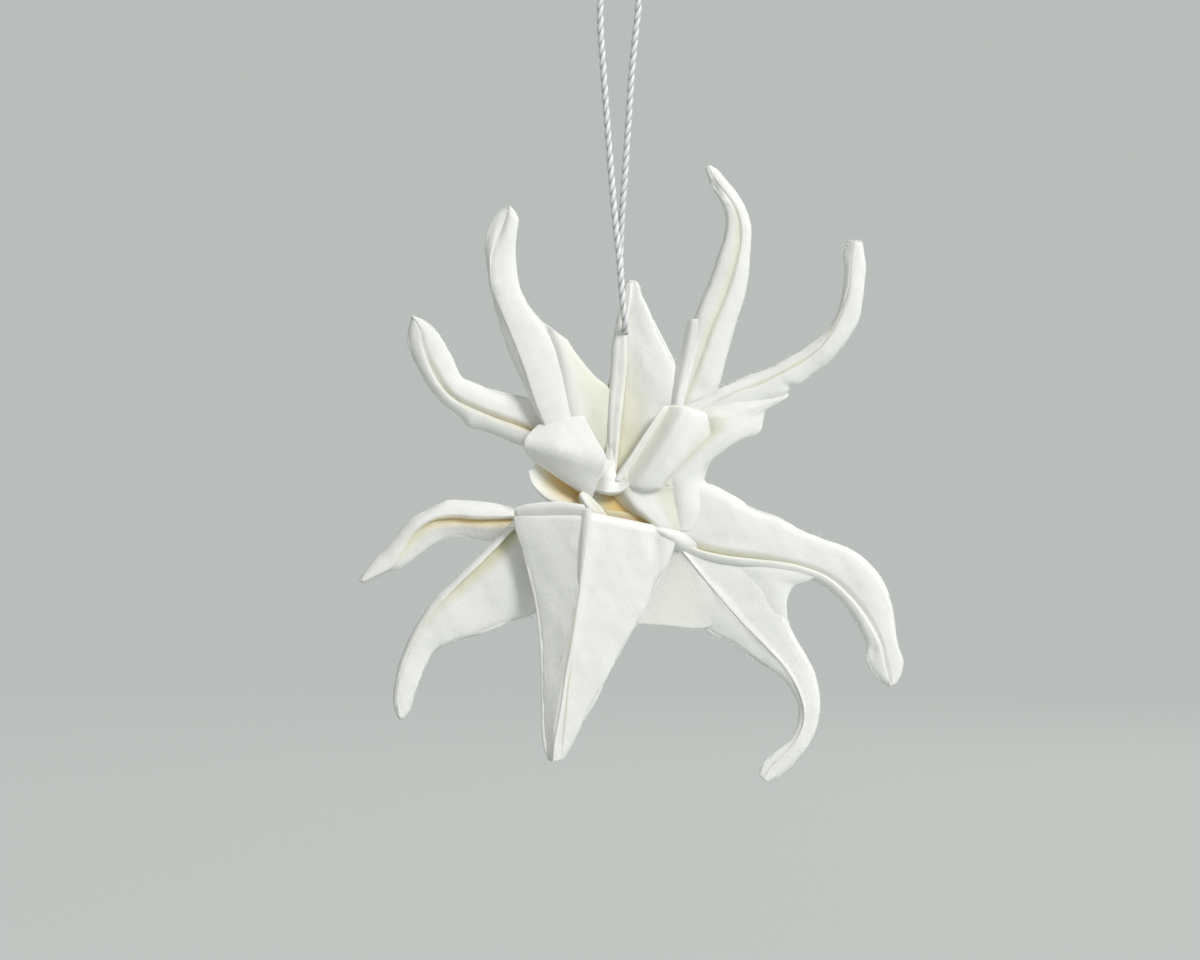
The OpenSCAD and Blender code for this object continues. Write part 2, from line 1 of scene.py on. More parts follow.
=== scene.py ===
"""Folded paper octopus ornament on a loop of twisted thread.

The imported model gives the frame. Each flap, leaf and eye of the folded sheet is built again here with its
true folds, lips and layers, and the thread with its plies. Shapes are worked out in millimetres, and every
mesh is made in metres in the row frame.
"""

import logging
import math
from dataclasses import dataclass, field
from enum import Enum
from typing import Any, Mapping, Optional, Sequence, Tuple, Union

import bmesh
import bpy
import numpy as np
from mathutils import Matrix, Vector


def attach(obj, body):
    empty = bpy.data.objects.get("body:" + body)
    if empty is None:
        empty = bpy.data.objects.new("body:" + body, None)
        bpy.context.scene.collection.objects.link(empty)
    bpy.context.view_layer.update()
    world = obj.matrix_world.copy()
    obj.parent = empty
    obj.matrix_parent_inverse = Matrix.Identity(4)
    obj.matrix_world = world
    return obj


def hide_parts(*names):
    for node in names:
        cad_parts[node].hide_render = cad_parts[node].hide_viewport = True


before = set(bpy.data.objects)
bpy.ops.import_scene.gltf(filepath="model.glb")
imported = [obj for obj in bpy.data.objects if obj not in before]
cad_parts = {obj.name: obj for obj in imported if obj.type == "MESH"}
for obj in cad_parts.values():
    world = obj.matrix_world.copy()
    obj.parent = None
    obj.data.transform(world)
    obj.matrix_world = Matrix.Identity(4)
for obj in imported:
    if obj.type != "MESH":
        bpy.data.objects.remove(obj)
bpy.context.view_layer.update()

LOG = logging.getLogger("ornament")
MM = 0.001
TINY = 1e-9

# A row holds a drawn line's points, and a table holds profiles or tints
Row = Sequence[Sequence[float]]
Table = Sequence[Sequence[float]]
Colour = Tuple[float, float, float]


# Lines and surfaces


# Straight steps that stand for a curve between two of its points
CURVE_STEPS = 24


def curve_at(points: Any, s: np.ndarray) -> np.ndarray:
    """Gives places on the smooth curve that runs through some points.

    Args:
        points: The curve's points or values, one per whole number of s.
        s: Places along the curve, from 0 to the number of points less one.

    Returns:
        One point or value for each place.
    """
    p = np.asarray(points, float)
    if len(p) == 1:
        return np.repeat(p, len(s), axis=0)
    i = np.clip(np.floor(s).astype(int), 0, len(p) - 2)
    t = (s - i).reshape((-1,) + (1,) * (p.ndim - 1))
    a, b, c, d = p[np.maximum(i - 1, 0)], p[i], p[i + 1], p[np.minimum(i + 2, len(p) - 1)]
    return 0.5 * (2 * b + (c - a) * t + (2 * a - 5 * b + 4 * c - d) * t ** 2
                  + (3 * b - a - 3 * c + d) * t ** 3)


def even_line(points: Any, count: int) -> np.ndarray:
    """Gives evenly spaced points of the smooth curve through some points.

    Args:
        points: The curve's points.
        count: How many points to give.

    Returns:
        The points, from the curve's start to its end.
    """
    last = len(points) - 1
    q = curve_at(points, np.linspace(0, last, CURVE_STEPS * last + 1))
    run = np.concatenate([[0], np.cumsum(np.linalg.norm(np.diff(q, axis=0), axis=1))])
    where = np.linspace(0, run[-1], count)
    return np.stack([np.interp(where, run, q[:, k]) for k in range(q.shape[1])], axis=1)


def spread(values: Sequence[Any], t: np.ndarray) -> np.ndarray:
    """Spreads a short list of values smoothly over shares from 0 to 1."""
    return curve_at(values, np.asarray(t, float) * (len(values) - 1))


def ease(x: np.ndarray) -> np.ndarray:
    """Turns a rise from 0 to 1 into a soft one with level ends."""
    x = np.clip(x, 0, 1)
    return x * x * (3 - 2 * x)


def unit(v: np.ndarray) -> np.ndarray:
    """Makes each vector one long."""
    return v / np.maximum(np.linalg.norm(v, axis=-1, keepdims=True), TINY)


def softened(grid: np.ndarray) -> np.ndarray:
    """Rounds a grid a little across its columns. The two outer columns stay where they are."""
    inside = 0.5 * grid[:, 1:-1] + 0.25 * (grid[:, :-2] + grid[:, 2:])
    return np.concatenate([grid[:, :1], inside, grid[:, -1:]], axis=1)


@dataclass(frozen=True)
class Drawing:
    """The front drawing, in steps right and down from its corner, and where it lies in the row frame."""

    step: float = 0.13
    hole: Tuple[float, float] = (625.0, 331.0)
    hole_x: float = 0.7
    hole_z: float = -46.0

    def place(self, plan: np.ndarray, depth: np.ndarray) -> np.ndarray:
        """Gives points in millimetres.

        Args:
            plan: Right and down in drawing steps, in the last axis.
            depth: Depth in millimetres, away from the viewer.

        Returns:
            The points, with X, Y and Z in the last axis.
        """
        return np.stack([self.hole_x + (plan[..., 0] - self.hole[0]) * self.step, depth,
                         self.hole_z - (plan[..., 1] - self.hole[1]) * self.step], axis=-1)


DRAWING = Drawing()


@dataclass(frozen=True)
class Ripple:
    """Soft unevenness of hand-folded paper, as a sum of fixed waves in space."""

    length: float
    height: float
    seed: int
    waves: int = 16
    least: float = 0.6
    most: float = 1.7

    def at(self, p: np.ndarray) -> np.ndarray:
        """Gives the height of the unevenness at some points.

        Args:
            p: The points, in millimetres.

        Returns:
            One height for each point, in millimetres.
        """
        rng = np.random.default_rng(self.seed)
        k = unit(rng.normal(size=(self.waves, 3))) * (2 * math.pi / self.length)
        k *= rng.uniform(self.least, self.most, (self.waves, 1))
        phase = rng.uniform(0, 2 * math.pi, self.waves)
        return self.height * np.sin(p @ k.T + phase).sum(-1) / math.sqrt(self.waves / 2)


SOFTNESS = (Ripple(9.0, 0.06, 11), Ripple(3.2, 0.016, 12), Ripple(1.0, 0.005, 13))

# The rounded edge of the paper has rims at these angles, in degrees, from its front round to its back
RIM_ANGLES = (45, 90, 135)


class Side(Enum):
    """Which face of a sheet lies inside a fold, and so takes the painted shade of the fold's inside."""

    NONE = 0
    FRONT = 1
    BACK = -1


@dataclass
class Sheet:
    """One stretch of folded paper: the grid of its middle surface, its thickness and its marks of painted
    shade and painted bounce light.
    """

    name: str
    grid: np.ndarray
    thickness: float = 0.2
    # Which face takes painted fold shade and how much, the painted shade of slits and recesses, and how much
    # of that is amber bounce light
    inner: Side = Side.NONE
    inner_shade_map: Optional[np.ndarray] = None
    painted_shade: Optional[np.ndarray] = None
    painted_bounce: Optional[np.ndarray] = None
    uneven: float = 1.0

    def normals(self, g: np.ndarray) -> np.ndarray:
        """Gives the unit normal at each point of a grid."""
        return unit(np.cross(np.gradient(g, axis=0), np.gradient(g, axis=1)))

    def outline(self) -> np.ndarray:
        """Gives the grid places of the edge.

        Returns:
            Row and column numbers, once round.
        """
        m, n = self.grid.shape[:2]
        return np.array([(0, k) for k in range(n)] + [(i, n - 1) for i in range(1, m)]
                        + [(m - 1, k) for k in range(n - 2, -1, -1)] + [(i, 0) for i in range(m - 2, 0, -1)])

    def outward(self, g: np.ndarray, line: np.ndarray) -> np.ndarray:
        """Gives the direction out of the sheet along its edge.

        Args:
            g: The sheet's grid.
            line: The grid places of its edge.

        Returns:
            One unit vector for each place.
        """
        m, n = g.shape[:2]
        out = np.zeros((len(line), 3))
        for k, (i, j) in enumerate(line):
            if i in (0, m - 1):
                out[k] += unit(g[i, j] - g[1 if i == 0 else m - 2, j])
            if j in (0, n - 1):
                out[k] += unit(g[i, j] - g[i, 1 if j == 0 else n - 2])
        return unit(out)

    def marks(self, line: np.ndarray) -> Mapping[str, np.ndarray]:
        """Gives the sheet's painted shade and painted bounce light at every point of its closed mesh.

        Args:
            line: The grid places of the edge.

        Returns:
            Values by attribute name, for the two faces and then for the rims.
        """
        m, n = self.grid.shape[:2]
        fields = {}
        # Painted shade, and how much of it is amber bounce light, on both faces and round the rims
        for mark, value in {"painted_shade": self.painted_shade, "painted_bounce": self.painted_bounce}.items():
            v = np.zeros((m, n)) if value is None else np.broadcast_to(value, (m, n))
            rim = v[line[:, 0], line[:, 1]]
            fields[mark] = np.concatenate([v.ravel(), v.ravel()] + [rim] * len(RIM_ANGLES))
        # Painted shade on the face that lies inside a fold
        inner = np.zeros(2 * m * n + len(RIM_ANGLES) * len(line))
        if self.inner is not Side.NONE:
            first = 0 if self.inner is Side.FRONT else m * n
            inner[first:first + m * n] = self.inner_shade_map.ravel()
        fields["inner"] = inner
        return fields

    def build(self) -> bpy.types.Object:
        """Makes the closed piece, with a rounded edge all round.

        Returns:
            The piece, with its painted shade and painted bounce light as point attributes.
        """
        g = self.grid
        m, n = g.shape[:2]
        nor = self.normals(g)
        g = g + nor * (self.uneven * sum(r.at(g) for r in SOFTNESS))[..., None]
        nor = self.normals(g)
        line = self.outline()
        out = self.outward(g, line)
        half = self.thickness / 2
        sides = [g + nor * half, g - nor * half]
        edge, edge_nor = g[line[:, 0], line[:, 1]], nor[line[:, 0], line[:, 1]]
        turns = [math.radians(a) for a in RIM_ANGLES]
        rims = [edge + half * (math.cos(a) * edge_nor + math.sin(a) * out) for a in turns]
        points = np.vstack([s.reshape(-1, 3) for s in sides] + rims)
        index = np.arange(m * n).reshape(m, n)
        quads = np.stack([index[:-1, :-1], index[:-1, 1:], index[1:, 1:], index[1:, :-1]], -1).reshape(-1, 4)
        loops = [index[line[:, 0], line[:, 1]]]
        loops += [2 * m * n + k * len(line) + np.arange(len(line)) for k in range(len(rims))]
        loops += [loops[0] + m * n]
        faces = [quads[:, ::-1], quads + m * n]
        for a, b in zip(loops, loops[1:]):
            faces.append(np.stack([a, np.roll(a, -1), np.roll(b, -1), b], -1))
        return solid_mesh(self.name, points, np.vstack(faces), self.marks(line))


def placed(name: str, data: bpy.types.ID) -> bpy.types.Object:
    """Puts a new object into the scene.

    Args:
        name: The object's name.
        data: Its mesh, camera or lamp.

    Returns:
        The new object.
    """
    obj = bpy.data.objects.new(name, data)
    bpy.context.scene.collection.objects.link(obj)
    return obj


def solid_mesh(name: str, points: np.ndarray, faces: Any,
               fields: Optional[Mapping[str, np.ndarray]] = None) -> bpy.types.Object:
    """Makes a closed, smooth-shaded mesh object with its faces turned outwards.

    Args:
        name: The piece's name.
        points: Points in millimetres.
        faces: Corner numbers of each face.
        fields: Values at the points, by attribute name.

    Returns:
        The new object.
    """
    faces = [list(map(int, f)) for f in faces]
    tri = np.array([(f[0], f[k], f[k + 1]) for f in faces for k in range(1, len(f) - 1)])
    a, b, c = points[tri[:, 0]], points[tri[:, 1]], points[tri[:, 2]]
    if np.einsum("ij,ij->i", a, np.cross(b, c)).sum() < 0:
        faces = [f[::-1] for f in faces]
    mesh = bpy.data.meshes.new(name)
    mesh.from_pydata((points * MM).tolist(), [], faces)
    mesh.polygons.foreach_set("use_smooth", [True] * len(mesh.polygons))
    for key, value in (fields or {}).items():
        mesh.attributes.new(key, "FLOAT", "POINT").data.foreach_set("value", np.asarray(value, np.float32))
    mesh.update()
    return placed(name, mesh)


# Shader maths


class Value:
    """A socket in a shader expression. Operators add Math nodes."""

    def __init__(self, book: "NodeBook", socket: bpy.types.NodeSocket) -> None:
        """Wraps an output socket."""
        self.book = book
        self.socket = socket

    def _math(self, operation: str, a: Any, b: Any) -> "Value":
        """Adds one Math node on two values."""
        return self.book.add("ShaderNodeMath", {"operation": operation}, {0: a, 1: b})

    def __add__(self, other: Any) -> "Value":
        """Adds a value."""
        return self._math("ADD", self, other)

    def __radd__(self, other: Any) -> "Value":
        """Adds to a value."""
        return self._math("ADD", other, self)

    def __sub__(self, other: Any) -> "Value":
        """Takes a value away."""
        return self._math("SUBTRACT", self, other)

    def __rsub__(self, other: Any) -> "Value":
        """Is taken away from a value."""
        return self._math("SUBTRACT", other, self)

    def __mul__(self, other: Any) -> "Value":
        """Multiplies by a value."""
        return self._math("MULTIPLY", self, other)

    def __rmul__(self, other: Any) -> "Value":
        """Multiplies a value."""
        return self._math("MULTIPLY", other, self)

    def __pow__(self, other: Any) -> "Value":
        """Is raised to a power."""
        return self._math("POWER", self, other)

    def __rpow__(self, other: Any) -> "Value":
        """Is the power to which a value is raised."""
        return self._math("POWER", other, self)

    def __abs__(self) -> "Value":
        """Drops the sign."""
        return self._math("ABSOLUTE", self, 0.0)

    def held(self) -> "Value":
        """Keeps the value between 0 and 1."""
        return self._math("MINIMUM", self._math("MAXIMUM", self, 0.0), 1.0)


class NodeBook:
    """A material's or world's nodes, added one by one."""

    def __init__(self, tree: bpy.types.NodeTree) -> None:
        """Starts with an empty tree."""
        tree.nodes.clear()
        self.tree = tree

    def add(self, kind: str, settings: Optional[Mapping[str, Any]] = None,
            sockets: Optional[Mapping[Union[int, str], Any]] = None, out: Union[int, str] = 0) -> Value:
        """Adds a node.

        Args:
            kind: The node's type.
            settings: Its own settings, set before its sockets.
            sockets: Values or links, by the socket's number or name.
            out: The output to give back.

        Returns:
            The chosen output.
        """
        node = self.tree.nodes.new(kind)
        for key, value in (settings or {}).items():
            setattr(node, key, value)
        for key, value in (sockets or {}).items():
            if isinstance(value, Value):
                self.tree.links.new(value.socket, node.inputs[key])
            else:
                node.inputs[key].default_value = value
        return Value(self, node.outputs[out] if len(node.outputs) else None)

    def mixed(self, share: Any, a: Any, b: Any) -> Value:
        """Mixes two colours by a share."""
        a, b = (c if isinstance(c, Value) else (*c, 1.0) for c in (a, b))
        return self.add("ShaderNodeMix", {"data_type": "RGBA"}, {0: share, 6: a, 7: b}, 2)

    def mark(self, name: str) -> Value:
        """Reads a number that the mesh holds at its points."""
        return self.add("ShaderNodeAttribute", {"attribute_name": name}, out="Fac")

    def place(self) -> Value:
        """Gives the place in the row frame, in metres."""
        return self.add("ShaderNodeTexCoord", out="Object")

    def turned(self, vector: Value, scale: Sequence[float], turn: Sequence[float]) -> Value:
        """Turns and stretches a place, for grain that runs one way."""
        return self.add("ShaderNodeMapping", {"vector_type": "TEXTURE"},
                        {"Vector": vector, "Scale": scale, "Rotation": turn})

    def noise(self, vector: Value, scale: float, detail: float = 3.0, rough: float = 0.6,
              twist: float = 0.0) -> Value:
        """Adds a soft noise from 0 to 1."""
        return self.add("ShaderNodeTexNoise", None, {"Vector": vector, "Scale": scale, "Detail": detail,
                                                     "Roughness": rough, "Distortion": twist}, "Fac")


def new_material(name: str) -> Tuple[bpy.types.Material, NodeBook]:
    """Starts a material.

    Args:
        name: The material's name.

    Returns:
        The material, and its empty book of nodes.
    """
    material = bpy.data.materials.new(name)
    material.use_nodes = True
    return material, NodeBook(material.node_tree)


@dataclass(frozen=True)
class PaperFinish:
    """Matt handmade paper: yellowish white, long fibres, a soft pressed mottle, and painted shade and bounce
    light in folds.
    """

    name: str = "mulberry_paper"
    white: Colour = (0.90, 0.90, 0.875)
    shade: Colour = (0.84, 0.845, 0.80)
    fibre: Colour = (0.94, 0.94, 0.92)
    speck: Colour = (0.78, 0.77, 0.70)
    # Painted shade colours: yellow-green where shade falls in slits and folds, amber where light bounces in
    # recesses
    shade_olive: Colour = (0.72, 0.72, 0.50)
    bounce_orange: Colour = (0.84, 0.58, 0.24)
    roughness: float = 0.64
    cloud_scale: float = 520.0
    mottle_scale: float = 1150.0
    grain_scale: float = 6000.0
    fibre_turns: Row = ((0.35, 1.0), (1.15, 1.3), (2.05, 0.9), (2.7, 1.15))
    fibre_size: Tuple[float, float, float] = (0.009, 0.00042, 0.00042)
    fibre_edge: float = 11.0
    shade_share: float = 0.4
    fibre_share: float = 0.3
    speck_share: float = 0.9
    # How strongly the face inside a fold takes the painted shade
    inner_shade_share: float = 0.5
    relief: float = 0.0001
    depth_of_light: float = 0.0006

    def fibres(self, book: NodeBook, place: Value) -> Value:
        """Lays long thin fibres in several directions.

        Args:
            book: The material's nodes.
            place: Place in the row frame.

        Returns:
            1 on a fibre and 0 beside it.
        """
        total: Any = 0.0
        for turn, scale in self.fibre_turns:
            grain = book.turned(place, self.fibre_size, (0.1, turn, 0.2))
            n = book.noise(grain, scale, 1.0, 0.4, 0.25)
            line = (1.0 - abs(n * 2.0 - 1.0) * self.fibre_edge).held()
            total = line ** 2.0 + total
        return total.held()

    def build(self) -> bpy.types.Material:
        """Makes the material.

        Returns:
            The paper's material.
        """
        material, book = new_material(self.name)
        place = book.place()
        cloud = book.noise(place, self.cloud_scale)
        mottle = book.noise(place, self.mottle_scale, twist=0.3)
        grain = book.noise(place, self.grain_scale, 2.0)
        fibre = self.fibres(book, place)
        # Painted shade, painted amber bounce light and painted shade inside the folds, read from the mesh
        painted_shade, painted_bounce, inner = book.mark("painted_shade"), book.mark("painted_bounce"), book.mark("inner")
        tone = ((cloud - 0.45) * 1.3 + (mottle - 0.5) * 1.2 + 0.2).held()
        base = book.mixed(tone * self.shade_share, self.white, self.shade)
        base = book.mixed(fibre * self.fibre_share, base, self.fibre)
        base = book.mixed((grain - 0.6).held() * self.speck_share, base, self.speck)
        # The painted shade runs from yellow-green to amber bounce light and is laid over the paper's own
        # colour
        fold_shade_tone = book.mixed(painted_bounce, self.shade_olive, self.bounce_orange)
        base = book.mixed((inner * self.inner_shade_share + painted_shade).held(), base, fold_shade_tone)
        rough = self.roughness + (mottle - 0.5) * 0.22 - fibre * 0.10 + (grain - 0.5) * 0.12
        height = mottle * 0.35 + cloud * 0.15 + grain * 0.16 + fibre * 0.30
        bump = book.add("ShaderNodeBump", None, {"Strength": 0.45, "Distance": self.relief, "Height": height})
        shader = book.add("ShaderNodeBsdfPrincipled", None, {
            "Base Color": base, "Roughness": rough, "Normal": bump, "Subsurface Weight": 0.25,
            "Subsurface Radius": (1.0, 1.0, 0.85), "Subsurface Scale": self.depth_of_light,
            "Specular IOR Level": 0.3, "Sheen Weight": 0.05, "Sheen Roughness": 0.5})
        book.add("ShaderNodeOutputMaterial", None, {"Surface": shader})
        return material


@dataclass(frozen=True)
class ThreadFinish:
    """White and silver twisted yarn: pale filaments, with painted shade in the grooves between the two plies.
    """

    name: str = "twisted_thread"
    pale: Colour = (0.80, 0.81, 0.81)
    silver: Colour = (0.62, 0.65, 0.67)
    # Painted shade for the grooves between the plies
    groove_shade: Colour = (0.16, 0.17, 0.18)
    tuft: Colour = (0.66, 0.68, 0.68)
    roughness: float = 0.55
    tuft_scale: float = 2600.0
    patch_scale: float = 700.0
    relief: float = 0.00006
    silver_share: float = 0.8
    tuft_share: float = 0.8
    groove_shade_share: float = 0.85

    def build(self) -> bpy.types.Material:
        """Makes the material.

        Returns:
            The thread's material.
        """
        material, book = new_material(self.name)
        place = book.place()
        groove_shade, strand = book.mark("groove_shade"), book.mark("strand")
        tuft = book.noise(place, self.tuft_scale)
        patch = book.noise(place, self.patch_scale)
        silver = ((strand - 0.45) * 3.0).held() * (patch * 1.6 - 0.3).held()
        base = book.mixed(silver * self.silver_share, self.pale, self.silver)
        base = book.mixed((tuft - 0.45).held() * self.tuft_share, base, self.tuft)
        # Painted shade in the grooves between the two plies
        base = book.mixed((groove_shade ** 1.5) * self.groove_shade_share, base, self.groove_shade)
        rough = self.roughness - silver * 0.22 + (tuft - 0.5) * 0.2
        bump = book.add("ShaderNodeBump", None, {"Strength": 0.7, "Distance": self.relief, "Height": tuft})
        shader = book.add("ShaderNodeBsdfPrincipled", None, {
            "Base Color": base, "Roughness": rough, "Metallic": silver * 0.35, "Normal": bump,
            "Specular IOR Level": 0.45, "Sheen Weight": 0.15, "Sheen Roughness": 0.4})
        book.add("ShaderNodeOutputMaterial", None, {"Surface": shader})
        return material


@dataclass(frozen=True)
class BackdropFinish:
    """Plain pale studio paper, shown at its own tone and keeping the object's shadow."""

    name: str = "studio_backdrop"
    tone: Colour = (0.55, 0.58, 0.565)
    shown: float = 0.8

    def build(self) -> bpy.types.Material:
        """Makes the material.

        Returns:
            The backdrop's material.
        """
        material, book = new_material(self.name)
        paper = book.add("ShaderNodeBsdfDiffuse", None, {"Color": (*self.tone, 1.0)})
        plain = book.add("ShaderNodeEmission", None, {"Color": (*self.tone, 1.0), "Strength": 1.0})
        seen: Any = 0.0
        for ray in ("Is Camera Ray", "Is Glossy Ray", "Is Transmission Ray"):
            seen = book.add("ShaderNodeLightPath", out=ray) + seen
        mix = book.add("ShaderNodeMixShader", None, {0: seen.held() * self.shown, 1: paper, 2: plain})
        book.add("ShaderNodeOutputMaterial", None, {"Surface": mix})
        return material


# The folded sheet


# A leaf's rise from its lip to its fold edge, as shares of the flap's rise
SOFT_FOLD = (1.0, 0.99, 0.96, 0.91, 0.84, 0.73, 0.57, 0.33, 0.0)

# Shares of a flap's length: how far its root rolls, where its slit starts to close, and over what stretch
ROOT_SHARE = 0.035
SLIT_END = 0.86
SLIT_CLOSING = 0.1

# A slit's least half width in drawing steps, and the greatest as a share of its leaf
LEAST_OPENING = 0.1
WIDEST_OPENING = 0.6

# Shares of a leaf's width: the shortest lip, the shortest painted slit shade, where dents fade and how far
# the painted shade on a fold's inside face reaches
LEAST_LIP = 0.04
LEAST_SLIT_SHADE = 0.08
EDGE_FADE = 0.3
INNER_SHADE_REACH = 0.55

# How sharply a lip dips and a flap's back bends, and how far the painted slit shade reaches past its lip
LIP_POWER = 1.4
BACK_POWER = 1.7
SLIT_SHADE_REACH = 1.15

# How many more columns the back has than a leaf, counted with its two fold edges
BACK_EXTRA = 4

# The stations that close a flap's tip, the last one's size, and how far back the tip's direction is taken
TIP_STEPS = 6
TIP_END = 0.1
TIP_LEAD = 3


@dataclass(frozen=True)
class Dent:
    """A soft dent or swelling in a flap: where it is, how wide and tall, and how deep in millimetres."""

    right: float
    down: float
    wide: float
    tall: float
    depth: float
    lean: float = 0.0

    def at(self, plan: np.ndarray) -> np.ndarray:
        """Gives the dent's depth at drawn places.

        Args:
            plan: Right and down in drawing steps, in the last axis.

        Returns:
            The depth at each place, in millimetres.
        """
        x = (plan[..., 0] - self.right - self.lean * (plan[..., 1] - self.down)) / self.wide
        z = (plan[..., 1] - self.down) / self.tall
        return self.depth * np.exp(-(x * x + z * z))


@dataclass(frozen=True)
class Lip:
    """How one leaf of a flap ends at the slit, from the root to the tip.

    The lip dips by some millimetres over a share of the leaf, and its shade amount is the painted shade along
    the slit.
    """

    dip: Sequence[float] = (0.3, 0.35, 0.3, 0.2)
    share: Sequence[float] = (0.25,)
    shade_amount: Sequence[float] = (0.5, 0.4, 0.2, 0.0)


@dataclass
class Flap:
    """A flap folded from three lines: its left fold edge, its slit and its right fold edge.

    The sheet runs from the slit's left lip round the closed back to the slit's right lip. Lines are in
    drawing steps, depth and rises in millimetres, and the other lists run from the root to the tip.
    """

    name: str
    left: Row
    slit: Row
    right: Row
    depth: Sequence[float]
    full: Sequence[float]
    opening: Sequence[float] = (0.13, 0.13)
    rise: float = 1.0
    back: float = 0.9
    left_form: Table = (SOFT_FOLD,)
    right_form: Table = (SOFT_FOLD,)
    left_lip: Lip = Lip()
    right_lip: Lip = Lip()
    # How much of the painted slit shade is amber bounce light, from the root to the tip
    painted_bounce: Sequence[float] = (0.1, 0.0)
    dents: Sequence[Dent] = ()
    root_roll: float = 0.0
    tip_reach: float = 0.45
    thickness: float = 0.2
    stations: int = 120
    across: int = 24

    def leaf(self, lip: np.ndarray, edge: np.ndarray, y: np.ndarray, f: np.ndarray, form: Table,
             t: np.ndarray, end: Lip) -> np.ndarray:
        """Gives one front leaf of the flap.

        Args:
            lip: Its lip's place at each station, in drawing steps.
            edge: Its fold edge's place at each station.
            y: The fold edge's depth.
            f: How far the leaf rises from there towards the viewer.
            form: Its profiles, from the root to the tip.
            t: The stations' shares of the flap's length.
            end: How it ends at the slit.

        Returns:
            The leaf's grid, from its lip to its fold edge.
        """
        a = np.linspace(0, 1, self.across)
        rows = spread(form, t)
        h = np.stack([curve_at(r, a * (len(r) - 1)) for r in rows]) * f[:, None]
        share = np.maximum(spread(end.share, t), LEAST_LIP)
        h -= spread(end.dip, t)[:, None] * (1 - ease(a[None] / share[:, None])) ** LIP_POWER
        plan = lip[:, None] * (1 - a)[None, :, None] + edge[:, None] * a[None, :, None]
        fade = ease((1 - a) / EDGE_FADE)
        sunk = sum((d.at(plan) for d in self.dents), np.zeros(plan.shape[:2]))
        return DRAWING.place(plan, y[:, None] - h + sunk * fade)

    def surface(self) -> np.ndarray:
        """Gives the grid of the flap's outer surface.

        Returns:
            Stations by columns of points, from the left lip round the back to the right lip.
        """
        t = np.linspace(0, 1, self.stations)
        left, slit, right = (even_line(p, self.stations) for p in (self.left, self.slit, self.right))
        k = spread(self.full, t)
        y = spread(self.depth, t) + self.root_roll * np.clip(1 - t / ROOT_SHARE, 0, 1) ** 2
        w = np.maximum(spread(self.opening, t), LEAST_OPENING) * (1 - ease((t - SLIT_END) / SLIT_CLOSING))
        a = unit(right - left)
        wl = np.minimum(w, WIDEST_OPENING * np.linalg.norm(slit - left, axis=1))[:, None]
        wr = np.minimum(w, WIDEST_OPENING * np.linalg.norm(right - slit, axis=1))[:, None]
        f, b = self.rise * k, self.back * k
        front_left = self.leaf(slit - a * wl, left, y, f, self.left_form, t, self.left_lip)
        front_right = self.leaf(slit + a * wr, right, y, f, self.right_form, t, self.right_lip)[:, ::-1]
        c = np.linspace(0, 1, self.across + BACK_EXTRA)[1:-1]
        plan = left[:, None] * (1 - c)[None, :, None] + right[:, None] * c[None, :, None]
        bow = 1 - np.abs(2 * c - 1) ** BACK_POWER
        behind = DRAWING.place(plan, y[:, None] + b[:, None] * bow[None])
        g = np.concatenate([front_left, behind, front_right], axis=1)
        return self.tipped(softened(g))

    def tipped(self, g: np.ndarray) -> np.ndarray:
        """Closes the tip with a few shrinking stations.

        Args:
            g: The flap's grid, from the root to the tip.

        Returns:
            The grid with the closing stations at its end.
        """
        ahead = unit((g[-1] - g[-1 - TIP_LEAD]).mean(0))
        middle = g[-1].mean(0)
        size = np.linalg.norm(g[-1] - middle, axis=1).mean()
        more = []
        for k in np.linspace(0, 1, TIP_STEPS + 1)[1:]:
            shrink = math.sqrt(max(1 - k * k, 0)) * (1 - TIP_END) + TIP_END
            more.append(middle + (g[-1] - middle) * shrink + ahead * self.tip_reach * size * k)
        return np.concatenate([g, np.stack(more)], axis=0)

    def slit_shades(self, t: np.ndarray, n: int) -> np.ndarray:
        """Gives how much painted shade lies on the sheet beside its slit.

        Args:
            t: The stations' shares of the flap's length.
            n: The number of columns.

        Returns:
            Shares from 0 to 1, stations by columns.
        """
        a = np.linspace(0, 1, self.across)[None]
        sides = []
        for end in (self.left_lip, self.right_lip):
            share = np.maximum(spread(end.share, t), LEAST_SLIT_SHADE)[:, None]
            shade_amount = np.clip(spread(end.shade_amount, t), 0, 1)[:, None]
            sides.append(shade_amount * (1 - ease(a / (share * SLIT_SHADE_REACH))))
        rest = np.zeros((len(t), n - 2 * self.across))
        return np.concatenate([sides[0], rest, sides[1][:, ::-1]], axis=1)

    def inner_shade_map(self, m: int, n: int) -> np.ndarray:
        """Gives the painted shade on the sheet's inside face: near the lips and opposite them.

        Args:
            m: The number of stations.
            n: The number of columns.

        Returns:
            Shares from 0 to 1, stations by columns.
        """
        front = 1 - ease(np.linspace(0, 1, self.across) / INNER_SHADE_REACH)
        behind = ease(3 * np.sin(np.linspace(0, math.pi, n - 2 * self.across)) - 1.5)
        return np.broadcast_to(np.concatenate([front, behind, front[::-1]]), (m, n))

    def build(self) -> bpy.types.Object:
        """Makes the flap as one closed sheet.

        Returns:
            The piece.
        """
        g = self.surface()
        m, n = g.shape[:2]
        t = np.minimum(np.linspace(0, 1 + TIP_STEPS / self.stations, m), 1)
